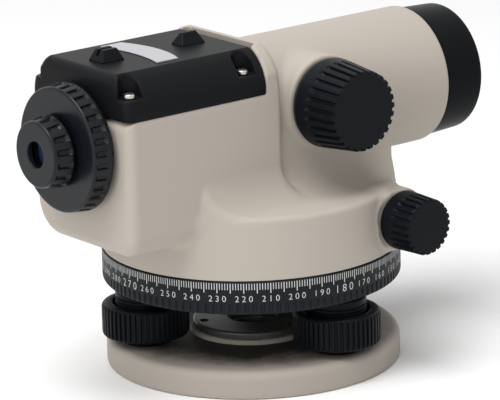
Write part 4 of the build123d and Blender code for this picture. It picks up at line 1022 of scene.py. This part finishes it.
def build_camera(view, target):
    """The camera, turned about the target."""
    a, e = view.bearing, view.elevation
    back = Vector((math.sin(a) * math.cos(e), -math.cos(a) * math.cos(e), math.sin(e)))
    right = Vector((math.cos(a), math.sin(a), 0.0))
    up = back.cross(right)
    c, r = math.cos(view.roll), math.sin(view.roll)
    right, up = right * c + up * r, up * c - right * r
    lens = bpy.data.cameras.new("view")
    lens.lens = view.lens
    lens.sensor_width = 36.0
    lens.clip_start = 0.05
    lens.clip_end = 50.0
    camera = bpy.data.objects.new("view", lens)
    turn = Matrix((right, up, back)).transposed().to_4x4()
    camera.matrix_world = Matrix.Translation(target + back * view.distance) @ turn
    bpy.context.scene.collection.objects.link(camera)
    bpy.context.scene.camera = camera
    return camera


def build_stage(s):
    """Floor, background, soft lights and camera."""
    scene = bpy.context.scene
    view = scene.level_view
    target = Vector(view.aim)
    scene.view_settings.view_transform = "Standard"
    floor = build_floor()
    build_daylight(view.daylight)
    overhead = build_lamp("overhead", (-0.55, -0.12, 1.8), 1.3, view.key_power, target)
    left = build_lamp("left", (-1.5, -0.5, 0.8), 1.4, view.side_power, target)
    build_camera(view, target)


# ------------------------------------------------------------------ operators and panel
class LevelOperator:
    """Shared parts of the operators."""
    bl_options = {"REGISTER", "UNDO"}

    def execute(self, context):
        self.work(sizes())
        return {"FINISHED"}


class LEVEL_OT_base(LevelOperator, bpy.types.Operator):
    """Build the base plate and the clamp disc"""
    bl_idname = "level.base"
    bl_label = "Base"
    work = staticmethod(build_base)


class LEVEL_OT_feet(LevelOperator, bpy.types.Operator):
    """Build the foot screws' knobs and sleeves"""
    bl_idname = "level.feet"
    bl_label = "Foot screws"
    work = staticmethod(build_feet)


class LEVEL_OT_circle(LevelOperator, bpy.types.Operator):
    """Build the degree circle with its ticks and figures"""
    bl_idname = "level.circle"
    bl_label = "Degree circle"
    work = staticmethod(build_circle)


class LEVEL_OT_housing(LevelOperator, bpy.types.Operator):
    """Build the cast housing"""
    bl_idname = "level.housing"
    bl_label = "Housing"
    work = staticmethod(build_housing)


class LEVEL_OT_cover(LevelOperator, bpy.types.Operator):
    """Build the top cover, its screws, the sights and the plate"""
    bl_idname = "level.cover"
    bl_label = "Top cover"
    work = staticmethod(build_cover)


class LEVEL_OT_objective(LevelOperator, bpy.types.Operator):
    """Build the objective and its hood"""
    bl_idname = "level.objective"
    bl_label = "Objective"
    work = staticmethod(build_objective)


class LEVEL_OT_focus(LevelOperator, bpy.types.Operator):
    """Build the focusing knob"""
    bl_idname = "level.focus"
    bl_label = "Focusing knob"
    work = staticmethod(build_focus)


class LEVEL_OT_tangent(LevelOperator, bpy.types.Operator):
    """Build the knobs of the tangent screw"""
    bl_idname = "level.tangent"
    bl_label = "Tangent knobs"
    work = staticmethod(build_tangent)


class LEVEL_OT_eyepiece(LevelOperator, bpy.types.Operator):
    """Build the eyepiece cap, the dial and the eye lens"""
    bl_idname = "level.eyepiece"
    bl_label = "Eyepiece"
    work = staticmethod(build_eyepiece)


class LEVEL_OT_bubble(LevelOperator, bpy.types.Operator):
    """Build the holder of the circular bubble"""
    bl_idname = "level.bubble"
    bl_label = "Circular bubble"
    work = staticmethod(build_bubble)


class LEVEL_OT_carried(LevelOperator, bpy.types.Operator):
    """Paint the frame's pieces that show as they are"""
    bl_idname = "level.carried"
    bl_label = "Inner pieces"
    work = staticmethod(paint_carried)


class LEVEL_OT_stage(LevelOperator, bpy.types.Operator):
    """Set the floor, the background, the lights and the camera"""
    bl_idname = "level.stage"
    bl_label = "Stage"
    work = staticmethod(build_stage)


OPERATORS = (LEVEL_OT_base, LEVEL_OT_feet, LEVEL_OT_circle, LEVEL_OT_housing, LEVEL_OT_cover,
             LEVEL_OT_objective, LEVEL_OT_focus, LEVEL_OT_tangent, LEVEL_OT_eyepiece, LEVEL_OT_bubble,
             LEVEL_OT_carried, LEVEL_OT_stage)


class LEVEL_PT_panel(bpy.types.Panel):
    """The level's operators"""
    bl_label = "Automatic Level"
    bl_idname = "LEVEL_PT_panel"
    bl_space_type = "VIEW_3D"
    bl_region_type = "UI"
    bl_category = "Level"

    def draw(self, context):
        for operator in OPERATORS:
            self.layout.operator(operator.bl_idname)


CLASSES = (LevelSizes, LevelColours, LevelView) + OPERATORS + (LEVEL_PT_panel,)


def register():
    for item in CLASSES:
        bpy.utils.register_class(item)
    bpy.types.Scene.level_sizes = bpy.props.PointerProperty(type=LevelSizes)
    bpy.types.Scene.level_colours = bpy.props.PointerProperty(type=LevelColours)
    bpy.types.Scene.level_view = bpy.props.PointerProperty(type=LevelView)


def unregister():
    del bpy.types.Scene.level_view
    del bpy.types.Scene.level_colours
    del bpy.types.Scene.level_sizes
    for item in reversed(CLASSES):
        bpy.utils.unregister_class(item)


def main():
    """Build everything in order."""
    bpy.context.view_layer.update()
    register()
    for operator in OPERATORS:
        name = operator.bl_idname.split(".")[1]
        getattr(bpy.ops.level, name)()


if __name__ == "__main__":
    main()
